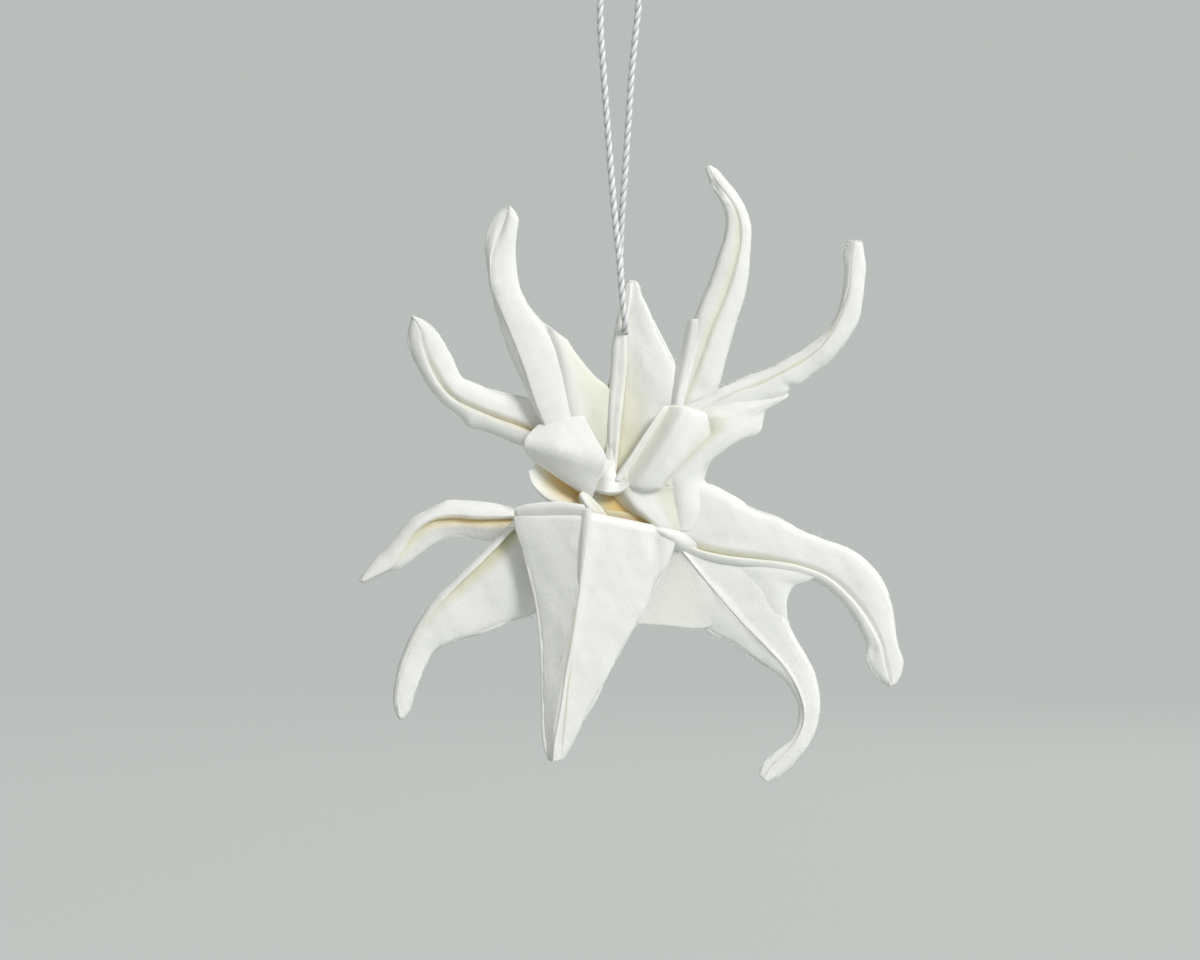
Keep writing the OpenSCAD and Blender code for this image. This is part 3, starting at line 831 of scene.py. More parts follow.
        # Painted shade along the slits and inside the folds, partly amber bounce light
        bounce_map = np.clip(spread(self.painted_bounce, t), 0, 1)[:, None]
        sheet = Sheet(self.name, g, self.thickness, painted_shade=self.slit_shades(t, n), painted_bounce=bounce_map)
        nor = sheet.normals(g)
        centre = g.mean(1, keepdims=True)
        outwards = np.einsum("ijk,ijk->ij", nor, g - centre)[:, n // 2].mean() > 0
        sheet.grid = g - nor * (self.thickness / 2 if outwards else -self.thickness / 2)
        sheet.inner = Side.BACK if outwards else Side.FRONT
        sheet.inner_shade_map = self.inner_shade_map(m, n)
        return sheet.build()


@dataclass
class Leaf:
    """A single leaf of paper drawn as rows of points: right and down in steps, and depth in millimetres."""

    name: str
    rows: Sequence[Row]
    thickness: float = 0.2
    lines: int = 60
    columns: int = 60
    # Painted shade over the leaf, and how much of it is amber bounce light
    painted_shade: Table = ((0.0,),)
    painted_bounce: Table = ((0.0,),)
    uneven: float = 0.8

    def over(self, values: Table) -> np.ndarray:
        """Spreads a small table of values over the leaf."""
        wide = np.stack([spread(row, np.linspace(0, 1, self.columns)) for row in values])
        return np.clip(spread(list(wide), np.linspace(0, 1, self.lines)), 0, 1)

    def surface(self) -> np.ndarray:
        """Gives the grid of the leaf's middle surface.

        Returns:
            Lines by columns of points.
        """
        drawn = [even_line(row, self.columns) for row in self.rows]
        g = spread(drawn, np.linspace(0, 1, self.lines))
        return DRAWING.place(g[..., :2], g[..., 2])

    def build(self) -> bpy.types.Object:
        """Makes the leaf."""
        return Sheet(self.name, self.surface(), self.thickness, painted_shade=self.over(self.painted_shade),
                     painted_bounce=self.over(self.painted_bounce), uneven=self.uneven).build()


# How far a flap stands up from its root to its tip, as shares of its rise
ARM_FULL = (0.9, 1, 1, 1, 0.95, 0.8, 0.6)
WIDE_FULL = (0.9, 1, 1, 0.95, 0.9, 0.75, 0.55)


@dataclass
class UpperArms:
    """The four arms that curl upwards."""

    def flaps(self) -> Sequence[Flap]:
        """Gives the arms, from the left to the right.

        Returns:
            One flap for each arm.
        """
        return (
            Flap("arm_upper_left_outer",
                 ((573, 459), (548, 452), (523, 447), (500, 438), (480, 431), (467, 427), (462, 420),
                  (443, 405), (430, 390), (418, 370), (410, 352), (407, 340), (409, 328), (411, 319)),
                 ((569, 443), (545, 437), (520, 427), (500, 420), (475, 410), (460, 403), (448, 394),
                  (437, 380), (428, 362), (423, 345), (422, 332), (415, 318)),
                 ((569, 415), (545, 403), (528, 396), (505, 391), (485, 386), (470, 381), (462, 377),
                  (456, 365), (451, 353), (443, 340), (436, 329), (425, 320), (418, 317)),
                 (0.9, 0.8, 0.4, -0.4, -1.4), ARM_FULL, (0.25, 0.2, 0.15, 0.12),
                 left_lip=Lip((0.15, 0.12, 0.1, 0.1), (0.25,), (0.7, 0.4, 0.25, 0)),
                 right_lip=Lip((0.45, 0.42, 0.38, 0.3, 0.0), (0.22, 0.26, 0.36, 0.4), (1, 0.8, 0.6, 0.4, 0)),
                 painted_bounce=(1.0, 0.45, 0.1, 0, 0)),
            Flap("arm_upper_left_inner",
                 ((565, 471), (548, 437), (540, 421), (529, 399), (518, 375), (507, 350), (498, 321),
                  (492, 295), (489, 275), (485, 252), (487, 233), (493, 220), (500, 211), (505, 209)),
                 ((569, 469), (557, 446), (547, 429), (538, 409), (531, 388), (524, 367), (514, 341),
                  (505, 320), (497, 300), (493, 287), (491, 270), (491, 255), (496, 240), (503, 225),
                  (508, 209)),
                 ((589, 465), (578, 420), (573, 395), (569, 370), (562, 350), (551, 333), (547, 325),
                  (536, 313), (527, 302), (520, 288), (517, 270), (516, 250), (518, 232), (519, 218),
                  (512, 208)),
                 (-0.6, -0.8, -0.9, -1.2, -1.6), ARM_FULL,
                 left_form=((1, 0.9, 0.8, 0.7, 0.6, 0.5, 0.4, 0.26, 0),),
                 left_lip=Lip((0.05, 0.04), (0.4,), (0.3, 0.4, 0.45, 0.2, 0, 0)),
                 right_lip=Lip((0.05, 0.0, 0.0, 0.1, 0.3), (0.12, 0.12, 0.15, 0.4), (0, 0)),
                 dents=(Dent(502, 230, 4, 16, 0.35, -0.35), Dent(556, 336, 14, 3, -0.12, -0.6))),
            Flap("arm_upper_right_inner",
                 ((663, 465), (674, 410), (680, 370), (684, 350), (694, 320), (701, 300), (709, 280),
                  (716, 260), (722, 240), (725, 225), (724, 213), (718, 198), (712, 189), (708, 179),
                  (705, 170)),
                 ((667, 465), (676, 436), (683, 410), (689, 390), (697, 370), (704, 350), (713, 325),
                  (722, 305), (730, 283), (736, 262), (740, 240), (739, 222), (734, 207), (725, 194),
                  (716, 183), (711, 174), (708, 168)),
                 ((685, 465), (701, 436), (712, 410), (720, 388), (725, 365), (731, 345), (738, 320),
                  (744, 300), (748, 280), (750, 260), (752, 240), (750, 220), (744, 205), (736, 192),
                  (727, 181), (718, 171), (711, 167)),
                 (0.2, 0, -0.3, -0.8, -1.4), ARM_FULL,
                 left_form=((1, 1, 1, 0.99, 0.97, 0.93, 0.84, 0.6, 0),),
                 left_lip=Lip((0.18, 0.16, 0.16, 0.16, 0.12, 0.05), (0.45, 0.45, 0.5, 0.5, 0.5, 0.3),
                              (0.35, 0.35, 0.5, 0.55, 0.5, 0)),
                 right_lip=Lip((0.12, 0.12, 0.12, 0.1, 0.0), (0.2, 0.2), (0.5, 0.5, 0.4, 0)),
                 dents=(Dent(714, 188, 5, 9, 0.45, 0.5), Dent(722, 203, 9, 2.5, -0.15, 0.3))),
            Flap("arm_upper_right_outer",
                 ((647, 429), (668, 412), (690, 402), (718, 389), (743, 377), (770, 367), (796, 353),
                  (818, 338), (830, 324), (838, 308), (842, 290), (843, 272), (841.5, 258), (844, 249),
                  (846, 243)),
                 ((655, 441), (675, 423), (694, 413), (714, 403), (737, 392), (757, 385), (780, 374),
                  (798, 364), (812, 354), (824, 342), (833, 328), (841, 311), (847, 293), (849, 272),
                  (850, 258), (853, 242.5)),
                 ((667, 459), (690, 445), (730, 425), (762, 408), (785, 395), (789, 387), (800, 384),
                  (815, 374), (831, 360), (845, 343), (857, 322), (861.5, 300), (863.5, 280), (865, 266),
                  (863, 254), (861, 243)),
                 (-1.6, -1.7, -1.5, -1.8, -2.4), ARM_FULL,
                 left_form=((1, 0.93, 0.84, 0.73, 0.6, 0.47, 0.32, 0.17, 0),),
                 left_lip=Lip((0.12, 0.15, 0.22, 0.2, 0), (0.3,), (0.05, 0.2, 0.6, 0.3, 0)),
                 right_lip=Lip((0.12, 0.15, 0.22, 0.15, 0), (0.12, 0.12, 0.2), (0.05, 0.2, 0.55, 0.2, 0)),
                 tip_reach=0.05),
        )


@dataclass
class LowerArms:
    """The four arms that curl downwards."""

    def flaps(self) -> Sequence[Flap]:
        """Gives the arms, from the left to the right.

        Returns:
            One flap for each arm.
        """
        return (
            Flap("arm_lower_left_outer",
                 ((541, 553), (512, 546), (489, 542), (463, 538), (445, 540), (430, 547), (420, 555),
                  (410, 563), (400, 569), (385, 574), (375, 580), (368, 583)),
                 ((549, 529), (530, 522), (516, 519), (495, 519), (475, 519), (450, 518), (432, 521),
                  (418, 530), (408, 542), (402, 553), (396, 563), (385, 571), (372, 577), (364, 581)),
                 ((553, 517), (535, 511), (516, 507), (500, 504), (480, 501), (450, 499), (440, 502),
                  (425, 510), (410, 519), (398, 531), (386, 547), (375, 559), (365, 571), (360, 579)),
                 (1.6, 1.3, 0.8, 0.2, -0.6), ARM_FULL, (0.15, 0.15, 0.2, 0.18, 0.13, 0.1),
                 rise=1.6, left_form=((1, 0.86, 0.72, 0.6, 0.48, 0.36, 0.25, 0.13, 0),),
                 left_lip=Lip((0.5, 0.6, 0.6, 0.4, 0.1), (0.45, 0.55, 0.65), (0.85, 0.95, 1, 0.8, 0.4, 0.0)),
                 right_lip=Lip((0.2, 0.25, 0.25, 0.2, 0.0), (0.2, 0.25), (0.5, 0.4, 0.5, 0.3, 0)),
                 painted_bounce=(0.35, 0.75, 0.8, 0.3, 0.0, 0.0)),
            Flap("arm_lower_left_inner",
                 ((585, 557), (567, 589), (536, 614), (514, 622), (495, 630), (475, 636), (455, 642),
                  (437, 650), (428, 664), (420, 682), (414, 700), (410, 711), (406, 717)),
                 ((559, 509), (538, 516), (516, 528), (496, 548), (476, 568), (457, 586), (441, 603),
                  (425, 622), (413, 645), (404, 668), (399, 685), (398, 697), (400, 709), (402, 717)),
                 ((541, 507), (517, 517), (491, 543), (470, 564), (450, 583), (435, 597), (420, 618),
                  (408, 641), (400, 664), (396, 685), (394, 697), (396, 709), (399, 716)),
                 (-0.8, -1, -1.3, -1.9, -2.8), WIDE_FULL, across=34,
                 left_form=((1, 0.72, 0.74, 0.76, 0.76, 0.74, 0.68, 0.55, 0),
                            (1, 0.74, 0.76, 0.78, 0.77, 0.74, 0.66, 0.5, 0),
                            (1, 0.93, 0.9, 0.86, 0.8, 0.72, 0.6, 0.42, 0),
                            (1, 0.97, 0.93, 0.88, 0.8, 0.7, 0.57, 0.38, 0)),
                 left_lip=Lip((0.75, 0.85, 0.65, 0.25, 0.05, 0), (0.2, 0.23, 0.2), (1, 1, 0.8, 0.35, 0, 0)),
                 right_lip=Lip((0.05, 0.05), (0.3,), (0.2, 0.2, 0.3, 0.35, 0.3))),
            Flap("arm_lower_right_inner",
                 ((669, 529), (691, 545), (720, 555), (748, 563), (768, 572), (779, 585), (784, 601),
                  (787, 617), (793, 633), (804, 653), (813, 670), (818, 690), (819, 705), (816, 725),
                  (808, 743), (794, 761), (780, 773), (768, 780)),
                 ((661, 533), (681, 550), (700, 573), (720, 597), (742, 622), (765, 645), (783, 665),
                  (796, 687), (802, 705), (802, 722), (795, 738), (783, 752), (770, 765), (763, 776)),
                 ((653, 543), (677, 557), (692, 590), (702, 627), (730, 643), (755, 660), (778, 675),
                  (788, 684), (796, 699), (798, 712), (795, 727), (788, 739), (775, 749), (762, 761),
                  (758, 771)),
                 (-1.8, -1.5, -1.4, -2, -3), WIDE_FULL, across=34, stations=150,
                 left_form=((1, 0.82, 0.78, 0.75, 0.72, 0.69, 0.62, 0.5, 0),
                            (1, 0.82, 0.78, 0.75, 0.72, 0.69, 0.62, 0.5, 0),
                            (1, 0.95, 0.9, 0.84, 0.77, 0.68, 0.55, 0.35, 0)),
                 right_form=((1, 0.85, 0.78, 0.72, 0.66, 0.58, 0.48, 0.32, 0),),
                 left_lip=Lip((0.0, 0.0), (0.1,), (0, 0)),
                 right_lip=Lip((0.1, 0.1, 0.05), (0.1,), (0.1, 0.1, 0.1, 0))),
            Flap("arm_lower_right_outer",
                 ((669, 489), (702, 482), (726, 491), (751, 505), (780, 516), (800, 529), (825, 539),
                  (853, 550), (872, 566), (885, 585), (893, 605), (896, 628), (898, 645), (903, 660),
                  (901, 673), (896, 682)),
                 ((659, 539), (682, 543), (702, 550), (725, 555), (750, 558), (775, 561), (800, 566),
                  (825, 576), (845, 592), (862, 612), (873, 630), (880, 645), (883, 660), (886, 672),
                  (889, 683)),
                 ((655, 545), (679, 550), (705, 561), (735, 567), (770, 572), (808, 579), (822, 585),
                  (836, 597), (850, 614), (860, 632), (865, 645), (864, 657), (870, 671), (878, 680),
                  (885, 685)),
                 (-2, -1.8, -1.2, -1.4, -2.4), ARM_FULL, (0.3, 0.2, 0.15, 0.12), across=30,
                 left_form=((1, 0.995, 0.98, 0.96, 0.93, 0.88, 0.8, 0.62, 0),),
                 left_lip=Lip((0.35, 0.35, 0.3, 0.25, 0.1), (0.14, 0.16, 0.2, 0.3), (1, 0.8, 0.4, 0.2, 0)),
                 right_lip=Lip((0.15, 0.12, 0.1), (0.2,), (0.7, 0.4, 0.1, 0)),
                 dents=(Dent(720, 541, 26, 6, 0.12, 0.0), Dent(872, 650, 5, 8, 0.25, 0.0))),
        )


@dataclass
class Mantle:
    """The mantle that hangs in front, with its ridge strip, its turned top corner and the webs behind it."""

    def flap(self) -> Flap:
        """Gives the mantle's own flap, whose first line lies on the viewer's right.

        Returns:
            The flap.
        """
        steep = (1, 0.80, 0.68, 0.58, 0.48, 0.38, 0.27, 0.14, 0)
        return Flap(
            "mantle",
            ((677, 529), (675, 548), (667, 567), (655, 591), (638, 623), (624, 646), (610, 672), (597, 697),
             (585, 717), (575, 738), (566, 753)),
            ((591, 512), (587, 541), (582, 576), (576, 613), (571, 646), (566, 674), (562, 700), (558, 720),
             (556, 735), (555, 748), (555, 757)),
            ((515, 509), (513, 524), (521, 549), (528, 574), (535, 603), (539, 634), (541, 666), (542, 701),
             (543, 731), (546, 749), (549, 756)),
            (-3.4, -3.6, -4.2, -4.8, -5.2), (1, 1, 0.9, 0.75, 0.6, 0.45),
            (0.12, 0.12, 0.12, 0.12, 0.12, 0.12, 0.62, 1.05, 0.5),
            rise=2.6, left_form=(steep, (1, 0.86, 0.75, 0.64, 0.53, 0.42, 0.3, 0.16, 0)),
            right_form=((1, 0.88, 0.76, 0.64, 0.52, 0.41, 0.29, 0.16, 0),),
            left_lip=Lip((0, 0), (0.1,), (0, 0)),
            right_lip=Lip((0, 0, 0, 0.12, 0.1), (0.1, 0.1, 0.16, 0.2), (0, 0, 0.3, 0.5, 0, 0)),
            dents=(Dent(655, 545, 8, 17, 0.5, 0.0), Dent(535, 511, 20, 2.0, 0.12, -0.05),
                   Dent(566, 540, 10, 26, 0.10), Dent(604, 640, 14, 40, -0.06),
                   Dent(552, 600, 12, 30, -0.06)),
            root_roll=0.8, across=46, stations=150)

    def leaves(self) -> Sequence[Leaf]:
        """Gives the layers on the mantle and the webs behind it.

        Returns:
            The ridge strip, the top fold, the mantle's inside layer, the turned corner and two webs.
        """
        # The mantle's inside layer and the webs carry painted shade
        return (
            Leaf("mantle_ridge_strip", (
                ((584, 508, -5.6), (583, 530, -6.0), (581, 560, -6.1), (579, 588, -5.85)),
                ((587, 508, -5.9), (586, 530, -6.25), (583, 560, -6.3), (579.5, 589, -5.9)),
                ((591, 510, -6.0), (589, 530, -6.35), (585, 560, -6.35), (580, 590, -5.95))),
                thickness=0.14, lines=10, uneven=0.3),
            Leaf("mantle_top_fold", (
                ((515, 508, -3.0), (530, 504, -3.6), (558, 502, -4.3), (583, 505, -5.0)),
                ((515.5, 508.5, -3.5), (531, 504, -4.15), (558, 502, -4.85), (584, 505, -5.6)),
                ((517, 511, -3.7), (532, 508, -4.35), (558, 506, -5.05), (585, 508, -5.85)),
                ((518, 515, -3.5), (533, 513, -4.15), (558, 511, -4.85), (586, 512, -5.75)),
                ((519, 519, -3.2), (534, 518, -3.8), (558, 516, -4.5), (586, 517, -5.4))),
                thickness=0.14, lines=24, uneven=0.3),
            Leaf("mantle_lining", (
                ((573, 652, -6.1), (569, 690, -6.2), (567, 720, -6.15), (563, 750, -5.7)),
                ((567, 652, -6.0), (561, 690, -6.05), (557, 720, -5.95), (556, 750, -5.6)),
                ((562, 652, -5.75), (555, 690, -5.7), (550, 720, -5.6), (549, 750, -5.2))),
                thickness=0.16, lines=14, painted_shade=((0.6, 0.45, 0.25, 0.05),), uneven=0.2),
            Leaf("mantle_corner", (
                ((650, 525, -3.1), (664, 525, -2.9), (680, 529, -2.6), (694, 535, -2.3), (706, 541, -2.0)),
                ((651, 527, -3.4), (664, 528.5, -3.5), (679, 533, -3.15), (692, 539, -2.75),
                 (705, 545, -2.15)),
                ((652, 530, -3.5), (664, 531.5, -4.0), (677, 537.5, -3.55), (688, 543.5, -3.0),
                 (702, 550, -2.15)),
                ((653, 533, -3.3), (663, 535, -3.9), (674, 541, -3.5), (684, 547.5, -2.95), (698, 556, -2.0)),
                ((654, 536, -3.0), (662, 540, -3.2), (671, 546, -2.9), (680, 552, -2.4), (692, 562, -1.6))),
                thickness=0.12, lines=24, uneven=0.3),
            Leaf("mantle_web", (
                ((650, 536, -1.9), (645, 556, -1.85), (640, 575, -1.8), (632, 598, -1.7), (624, 622, -1.6)),
                ((672, 548, -2.35), (673, 560, -2.3), (672, 577, -2.2), (668, 600, -2.1), (663, 624, -1.95)),
                ((682, 555, -2.5), (686, 563, -2.42), (691, 577, -2.35), (699, 600, -2.25), (703, 627, -1.8)),
                ((685, 555, -2.5), (693, 565, -2.42), (700, 577, -2.33), (714, 596, -2.22), (724, 614, -1.9)),
                ((688, 556, -2.3), (697, 564, -2.2), (705, 576, -2.1), (719, 594, -1.95), (730, 612, -1.6))),
                thickness=0.16, painted_shade=((0.15, 0.1, 0.05),), uneven=0.3),
            Leaf("lower_right_web", (
                ((735, 556, -1.6), (752, 559, -1.7), (775, 563, -1.95), (795, 569, -2.0), (813, 577, -1.95)),
                ((738, 567, -1.98), (755, 568, -2.15), (774, 571, -2.15), (792, 577, -2.1), (804, 581, -1.9)),
                ((745, 580, -1.95), (760, 580, -2.08), (773, 581, -2.12), (784, 583, -2.0), (792, 586, -1.8)),
                ((757, 594, -1.92), (768, 594, -2.03), (777, 594, -2.05), (783, 596, -1.95),
                 (786, 600, -1.7)),
                ((766, 608, -1.88), (773, 608, -1.98), (779, 608, -1.95), (784, 609, -1.8), (786, 612, -1.6)),
                ((772, 622, -1.7), (777, 622, -1.75), (782, 622, -1.65), (785, 623, -1.5), (787, 625, -1.3))),
                thickness=0.16, uneven=0.3),
        )


@dataclass
class Head:
    """The top flap that hangs on the thread, the two rolled eyes and the layers between them.

    The thread's hole is an upright oval, and its sizes are half widths in millimetres.
    """

    hole_at: Tuple[float, float] = (0.7, -45.85)
    hole_wide: float = 0.46
    hole_tall: float = 0.8
    hole_reach: float = 5.0
    hole_corners: int = 32

    def flap(self) -> Flap:
        """Gives the top flap, which the thread goes through.

        Returns:
            The flap.
        """
        return Flap(
            "top_flap",
            ((607, 485), (606, 440), (606, 415), (608, 385), (610, 360), (613, 335), (616, 320), (619, 308),
             (622, 297), (624.5, 287), (627.5, 282)),
            ((615, 487), (619, 440), (622, 410), (625, 385), (627, 360), (627, 335), (629, 315), (631, 298),
             (632, 281)),
            ((675, 471), (691, 436), (688, 400), (678, 367), (668, 347), (658, 328), (649, 309), (642, 295),
             (640, 287), (637.5, 282)),
            (-1.6, -0.7, -0.2, 0, 0, -0.1), (1.3, 1.2, 1.0, 0.8, 0.6), (0.3, 0.3, 0.3, 0.3, 0.3),
            left_form=((1, 0.99, 0.93, 0.86, 0.8, 0.78, 0.68, 0.45, 0),),
            right_form=((0.55, 0.45, 0.42, 0.46, 0.5, 0.52, 0.5, 0.36, 0),),
            left_lip=Lip((0.1, 0.1), (0.2,), (0.5, 0.5, 0.3, 0.2, 0)),
            right_lip=Lip((0.3, 0.25, 0.12, 0.05), (0.7, 0.55, 0.4, 0.2), (0.85, 0.7, 0.45, 0.15, 0)),
            tip_reach=0.3, across=30)

    def pierce(self, piece: bpy.types.Object) -> None:
        """Cuts the thread's hole right through the top flap.

        Args:
            piece: The top flap.
        """
        n, (middle_x, middle_z) = self.hole_corners, self.hole_at
        ring = [(middle_x + self.hole_wide * math.cos(a), middle_z + self.hole_tall * math.sin(a))
                for a in np.linspace(0, 2 * math.pi, n, endpoint=False)]
        points = np.array([(x, y, z) for y in (-self.hole_reach, self.hole_reach) for x, z in ring])
        sides = [[k, (k + 1) % n, (k + 1) % n + n, k + n] for k in range(n)]
        cutter = solid_mesh("hole_cutter", points, [list(range(n))[::-1], list(range(n, 2 * n))] + sides)
        cut = piece.modifiers.new("hole", "BOOLEAN")
        cut.operation, cut.solver, cut.use_self, cut.object = "DIFFERENCE", "EXACT", True, cutter
        cut_mesh = bpy.data.meshes.new_from_object(piece.evaluated_get(bpy.context.evaluated_depsgraph_get()))
        piece.modifiers.clear()
        piece.data = cut_mesh
        bpy.data.objects.remove(cutter)

    def leaves(self) -> Sequence[Leaf]:
        """Gives the eyes and the small layers round the recess.

        Returns:
            The leaves.
        """
        # Many of these leaves carry painted shade, and the recess, its fold, the pocket and the neck facet
        # also painted amber bounce light
        return (
            Leaf("left_eye", (
                ((560, 462, 0.2), (575, 462, 0.2), (590, 466, 0.2)),
                ((545, 440, 0.3), (563, 436, 0.4), (582, 434, 0.2)),
                ((540, 425, -0.6), (561, 420, -0.7), (583, 417, -0.7)),
                ((536, 428, -1.5), (561, 424, -2.1), (585, 421, -2.1)),
                ((530, 434, -2.2), (560, 434, -3.2), (596, 440, -3.3)),
                ((526, 440, -2.7), (558, 446, -3.95), (605, 456, -3.9)),
                ((525, 447, -2.7), (556, 455, -3.9), (604, 467, -3.85)),
                ((528, 455, -2.1), (556, 465, -3.15), (598, 479, -3.2)),
                ((536, 462, -1.3), (562, 480, -2.2), (592, 497, -2.4)),
                ((541, 461, -0.8), (566, 478, -1.4), (590, 493, -1.6)),
                ((548, 458, -0.3), (570, 470, -0.6), (590, 482, -0.8))), lines=80, columns=66),
            Leaf("left_eye_end", (
                ((604, 457, -3.8), (602, 467, -3.8), (597, 479, -3.15), (591, 493, -2.45)),
                ((606, 460, -3.4), (604, 470, -3.3), (600, 481, -2.7), (595, 493, -2.25)),
                ((611, 462, -2.7), (608, 472, -2.7), (605, 482, -2.5), (600, 493, -2.2))),
                lines=24, columns=30),
            Leaf("right_eye", (
                ((690, 440, 0.6), (672, 462, 0.6), (655, 482, 0.4)),
                ((668, 420, 0.4), (648, 448, 0.4), (628, 478, 0.2)),
                ((660, 414, -1.6), (639, 443, -1.9), (616, 478, -1.8)),
                ((660, 410, -2.8), (640, 440, -3.2), (615, 480, -2.9)),
                ((663, 408, -3.05), (643, 440, -3.4), (618, 480, -3.1)),
                ((667, 407, -2.4), (666, 411, -2.5), (647, 441, -2.8), (622, 480, -2.6)),
                ((674, 406, -2.5), (672, 411, -3.0), (653, 443, -3.35), (627, 482, -3.1), (628, 486, -2.4)),
                ((682, 407, -2.7), (680, 412, -3.75), (662, 445, -4.25), (636, 484, -4.0), (636, 489, -2.9)),
                ((688, 409, -2.8), (686, 414, -3.9), (669, 447, -4.4), (643, 485, -4.2), (643, 490, -3.0)),
                ((696, 411, -2.8), (693, 416, -3.85), (676, 447, -4.4), (651, 485, -4.25), (652, 490, -3.1)),
                ((706, 414, -2.5), (703, 419, -3.35), (685, 448, -4.0), (660, 484, -4.0), (661, 488, -3.1)),
                ((724, 424, -2.6), (705, 441, -3.1), (689, 457, -3.2), (672, 475, -3.25), (665, 484, -3.2)),
                ((734, 430, -2.0), (714, 450, -2.3), (697, 466, -2.4), (684, 482, -2.4), (680, 490, -2.4))),
                lines=114, columns=76,
                painted_shade=((0,), (0,), (0,), (0,), (0,), (0.2,), (0.3,), (0.12,), (0,), (0,), (0.05,), (0.3,),
                      (0.0,))),
            Leaf("top_flap_foot", (
                ((607, 440, -1.1), (611, 440, -1.35), (615, 440, -1.2)),
                ((606, 452, -1.6), (611, 452, -1.8), (616, 452, -1.7)),
                ((605, 462, -2.1), (610, 462, -2.3), (615, 462, -2.2)),
                ((602, 470, -2.5), (609, 470, -2.85), (614, 470, -2.7)),
                ((599, 477, -2.7), (607, 477, -3.35), (613, 477, -3.15), (617, 476, -2.7)),
                ((596, 483, -2.6), (605, 484, -3.5), (612, 484, -3.35), (617, 482, -2.95), (622, 479, -2.85)),
                ((594, 487, -2.6), (604, 489, -3.6), (612, 489, -3.55), (619, 487, -3.3), (626, 482, -3.2)),
                ((593, 489.5, -2.5), (604, 492, -3.65), (613, 492.5, -3.7), (621, 490.5, -3.6),
                 (630, 484, -3.45)),
                ((595, 492, -2.1), (606, 494.5, -2.95), (613, 495.0, -2.95), (622, 493, -2.85),
                 (632, 488, -2.7))),
                thickness=0.16, lines=60, columns=44, uneven=0.3,
                painted_shade=((0.3, 0, 0), (0.3, 0, 0), (0.3, 0, 0), (0.35, 0, 0), (0.4, 0, 0.1), (0.4, 0, 0.25),
                      (0.3, 0, 0.2), (0.1, 0, 0), (0.7, 0.5, 0.8)), painted_bounce=((0.1,),)),
            Leaf("neck_facet", (
                ((614, 474, -2.4), (626, 474, -2.8), (640, 477, -3.0), (655, 477, -3.0), (673, 473, -2.8)),
                ((615, 484, -2.5), (623, 484, -3.0), (630, 485, -3.4), (645, 487, -3.35), (658, 487, -3.2),
                 (667, 486, -3.1), (683, 484, -2.9)),
                ((613, 493, -2.3), (620, 492, -2.75), (627, 492, -3.4), (642, 494, -3.3), (656, 494, -3.05),
                 (667, 492, -2.95), (684, 490, -2.8)),
                ((619, 503, -2.3), (626, 503, -2.8), (633, 503, -3.45), (646, 503, -3.35), (658, 503, -3.1),
                 (668, 502, -3.0), (685, 501, -2.8)),
                ((631, 513, -2.5), (637, 513, -2.95), (643, 513, -3.5), (653, 513, -3.45), (662, 513, -3.25),
                 (670, 512, -3.15), (685, 514, -2.8)),
                ((646, 521, -2.8), (650, 522, -3.2), (655, 523, -3.45), (662, 524, -3.4), (668, 525, -3.3),
                 (685, 524, -2.8)),
                ((650, 531, -2.8), (654, 532, -3.0), (659, 533, -3.2), (665, 534, -3.15), (671, 535, -3.0),
                 (687, 534, -2.6))),
                lines=60, columns=60, uneven=0.5, painted_shade=((0.9, 0.35, 0, 0, 0.35, 0.4, 0.1),),
                painted_bounce=((0.6, 0.2, 0, 0, 0, 0, 0),)),
            Leaf("recess_floor", (
                ((588, 484, -1.9), (615, 486, -2.0), (640, 488, -2.1)),
                ((590, 496, -2.1), (615, 498, -2.1), (645, 500, -2.2)),
                ((590, 510, -2.4), (615, 512, -2.3), (652, 514, -2.5)),
                ((588, 526, -2.4), (615, 528, -2.5), (655, 530, -2.7))),
                lines=30, columns=40, uneven=0.5, painted_shade=((0.5, 1, 1, 1),), painted_bounce=((0.1, 0.85, 1, 0.9),)),
            Leaf("recess_fold", (
                ((606, 510, -2.4), (616, 511, -2.45), (626, 512, -2.5), (634, 514, -2.5)),
                ((606, 513, -2.6), (617, 514, -2.65), (627, 515, -2.65), (636, 517, -2.6)),
                ((607, 522, -2.6), (619, 523, -2.65), (630, 524, -2.65), (639, 526, -2.6))),
                thickness=0.1, lines=20, columns=40, uneven=0.3, painted_shade=((0.9,),),
                painted_bounce=((0.35, 0.35, 0.6, 0.9),)),
            Leaf("pocket", (
                ((541, 460, -1.0), (560, 470, -0.9), (576, 482, -0.8), (594, 497, -1.0)),
                ((536, 464, -1.3), (552, 477, -1.0), (569, 487, -0.9), (590, 501, -1.2)),
                ((532, 470, -1.7), (543, 484, -1.4), (559, 493, -1.3), (585, 506, -1.5)),
                ((529, 472, -1.9), (532, 482, -2.0), (541, 493, -2.0), (554, 501, -2.0), (584, 507, -1.8)),
                ((530, 476, -1.3), (534, 487, -1.3), (544, 498, -1.2), (556, 506, -1.2), (582, 512, -0.9))),
                thickness=0.16, lines=50, columns=60, uneven=0.5,
                painted_shade=((0.4, 1, 1, 1), (0.3, 0.9, 1, 1), (0.1, 0.5, 0.8, 0.9), (0, 0.1, 0.4, 0.5),
                      (0, 0, 0, 0)),
                painted_bounce=((0.5, 1, 1, 1), (0.2, 0.9, 1, 1), (0, 0.5, 0.8, 0.9), (0, 0, 0.2, 0.4),
                        (0, 0, 0, 0))),
            Leaf("small_tab", (
                ((583, 490, -2.5), (591, 497, -2.7), (598, 504, -2.8), (604, 511, -2.9), (609, 519, -2.9)),
                ((582, 492, -2.7), (589, 499, -3.0), (595, 506, -3.1), (600, 513, -3.2), (605, 521, -3.1)),
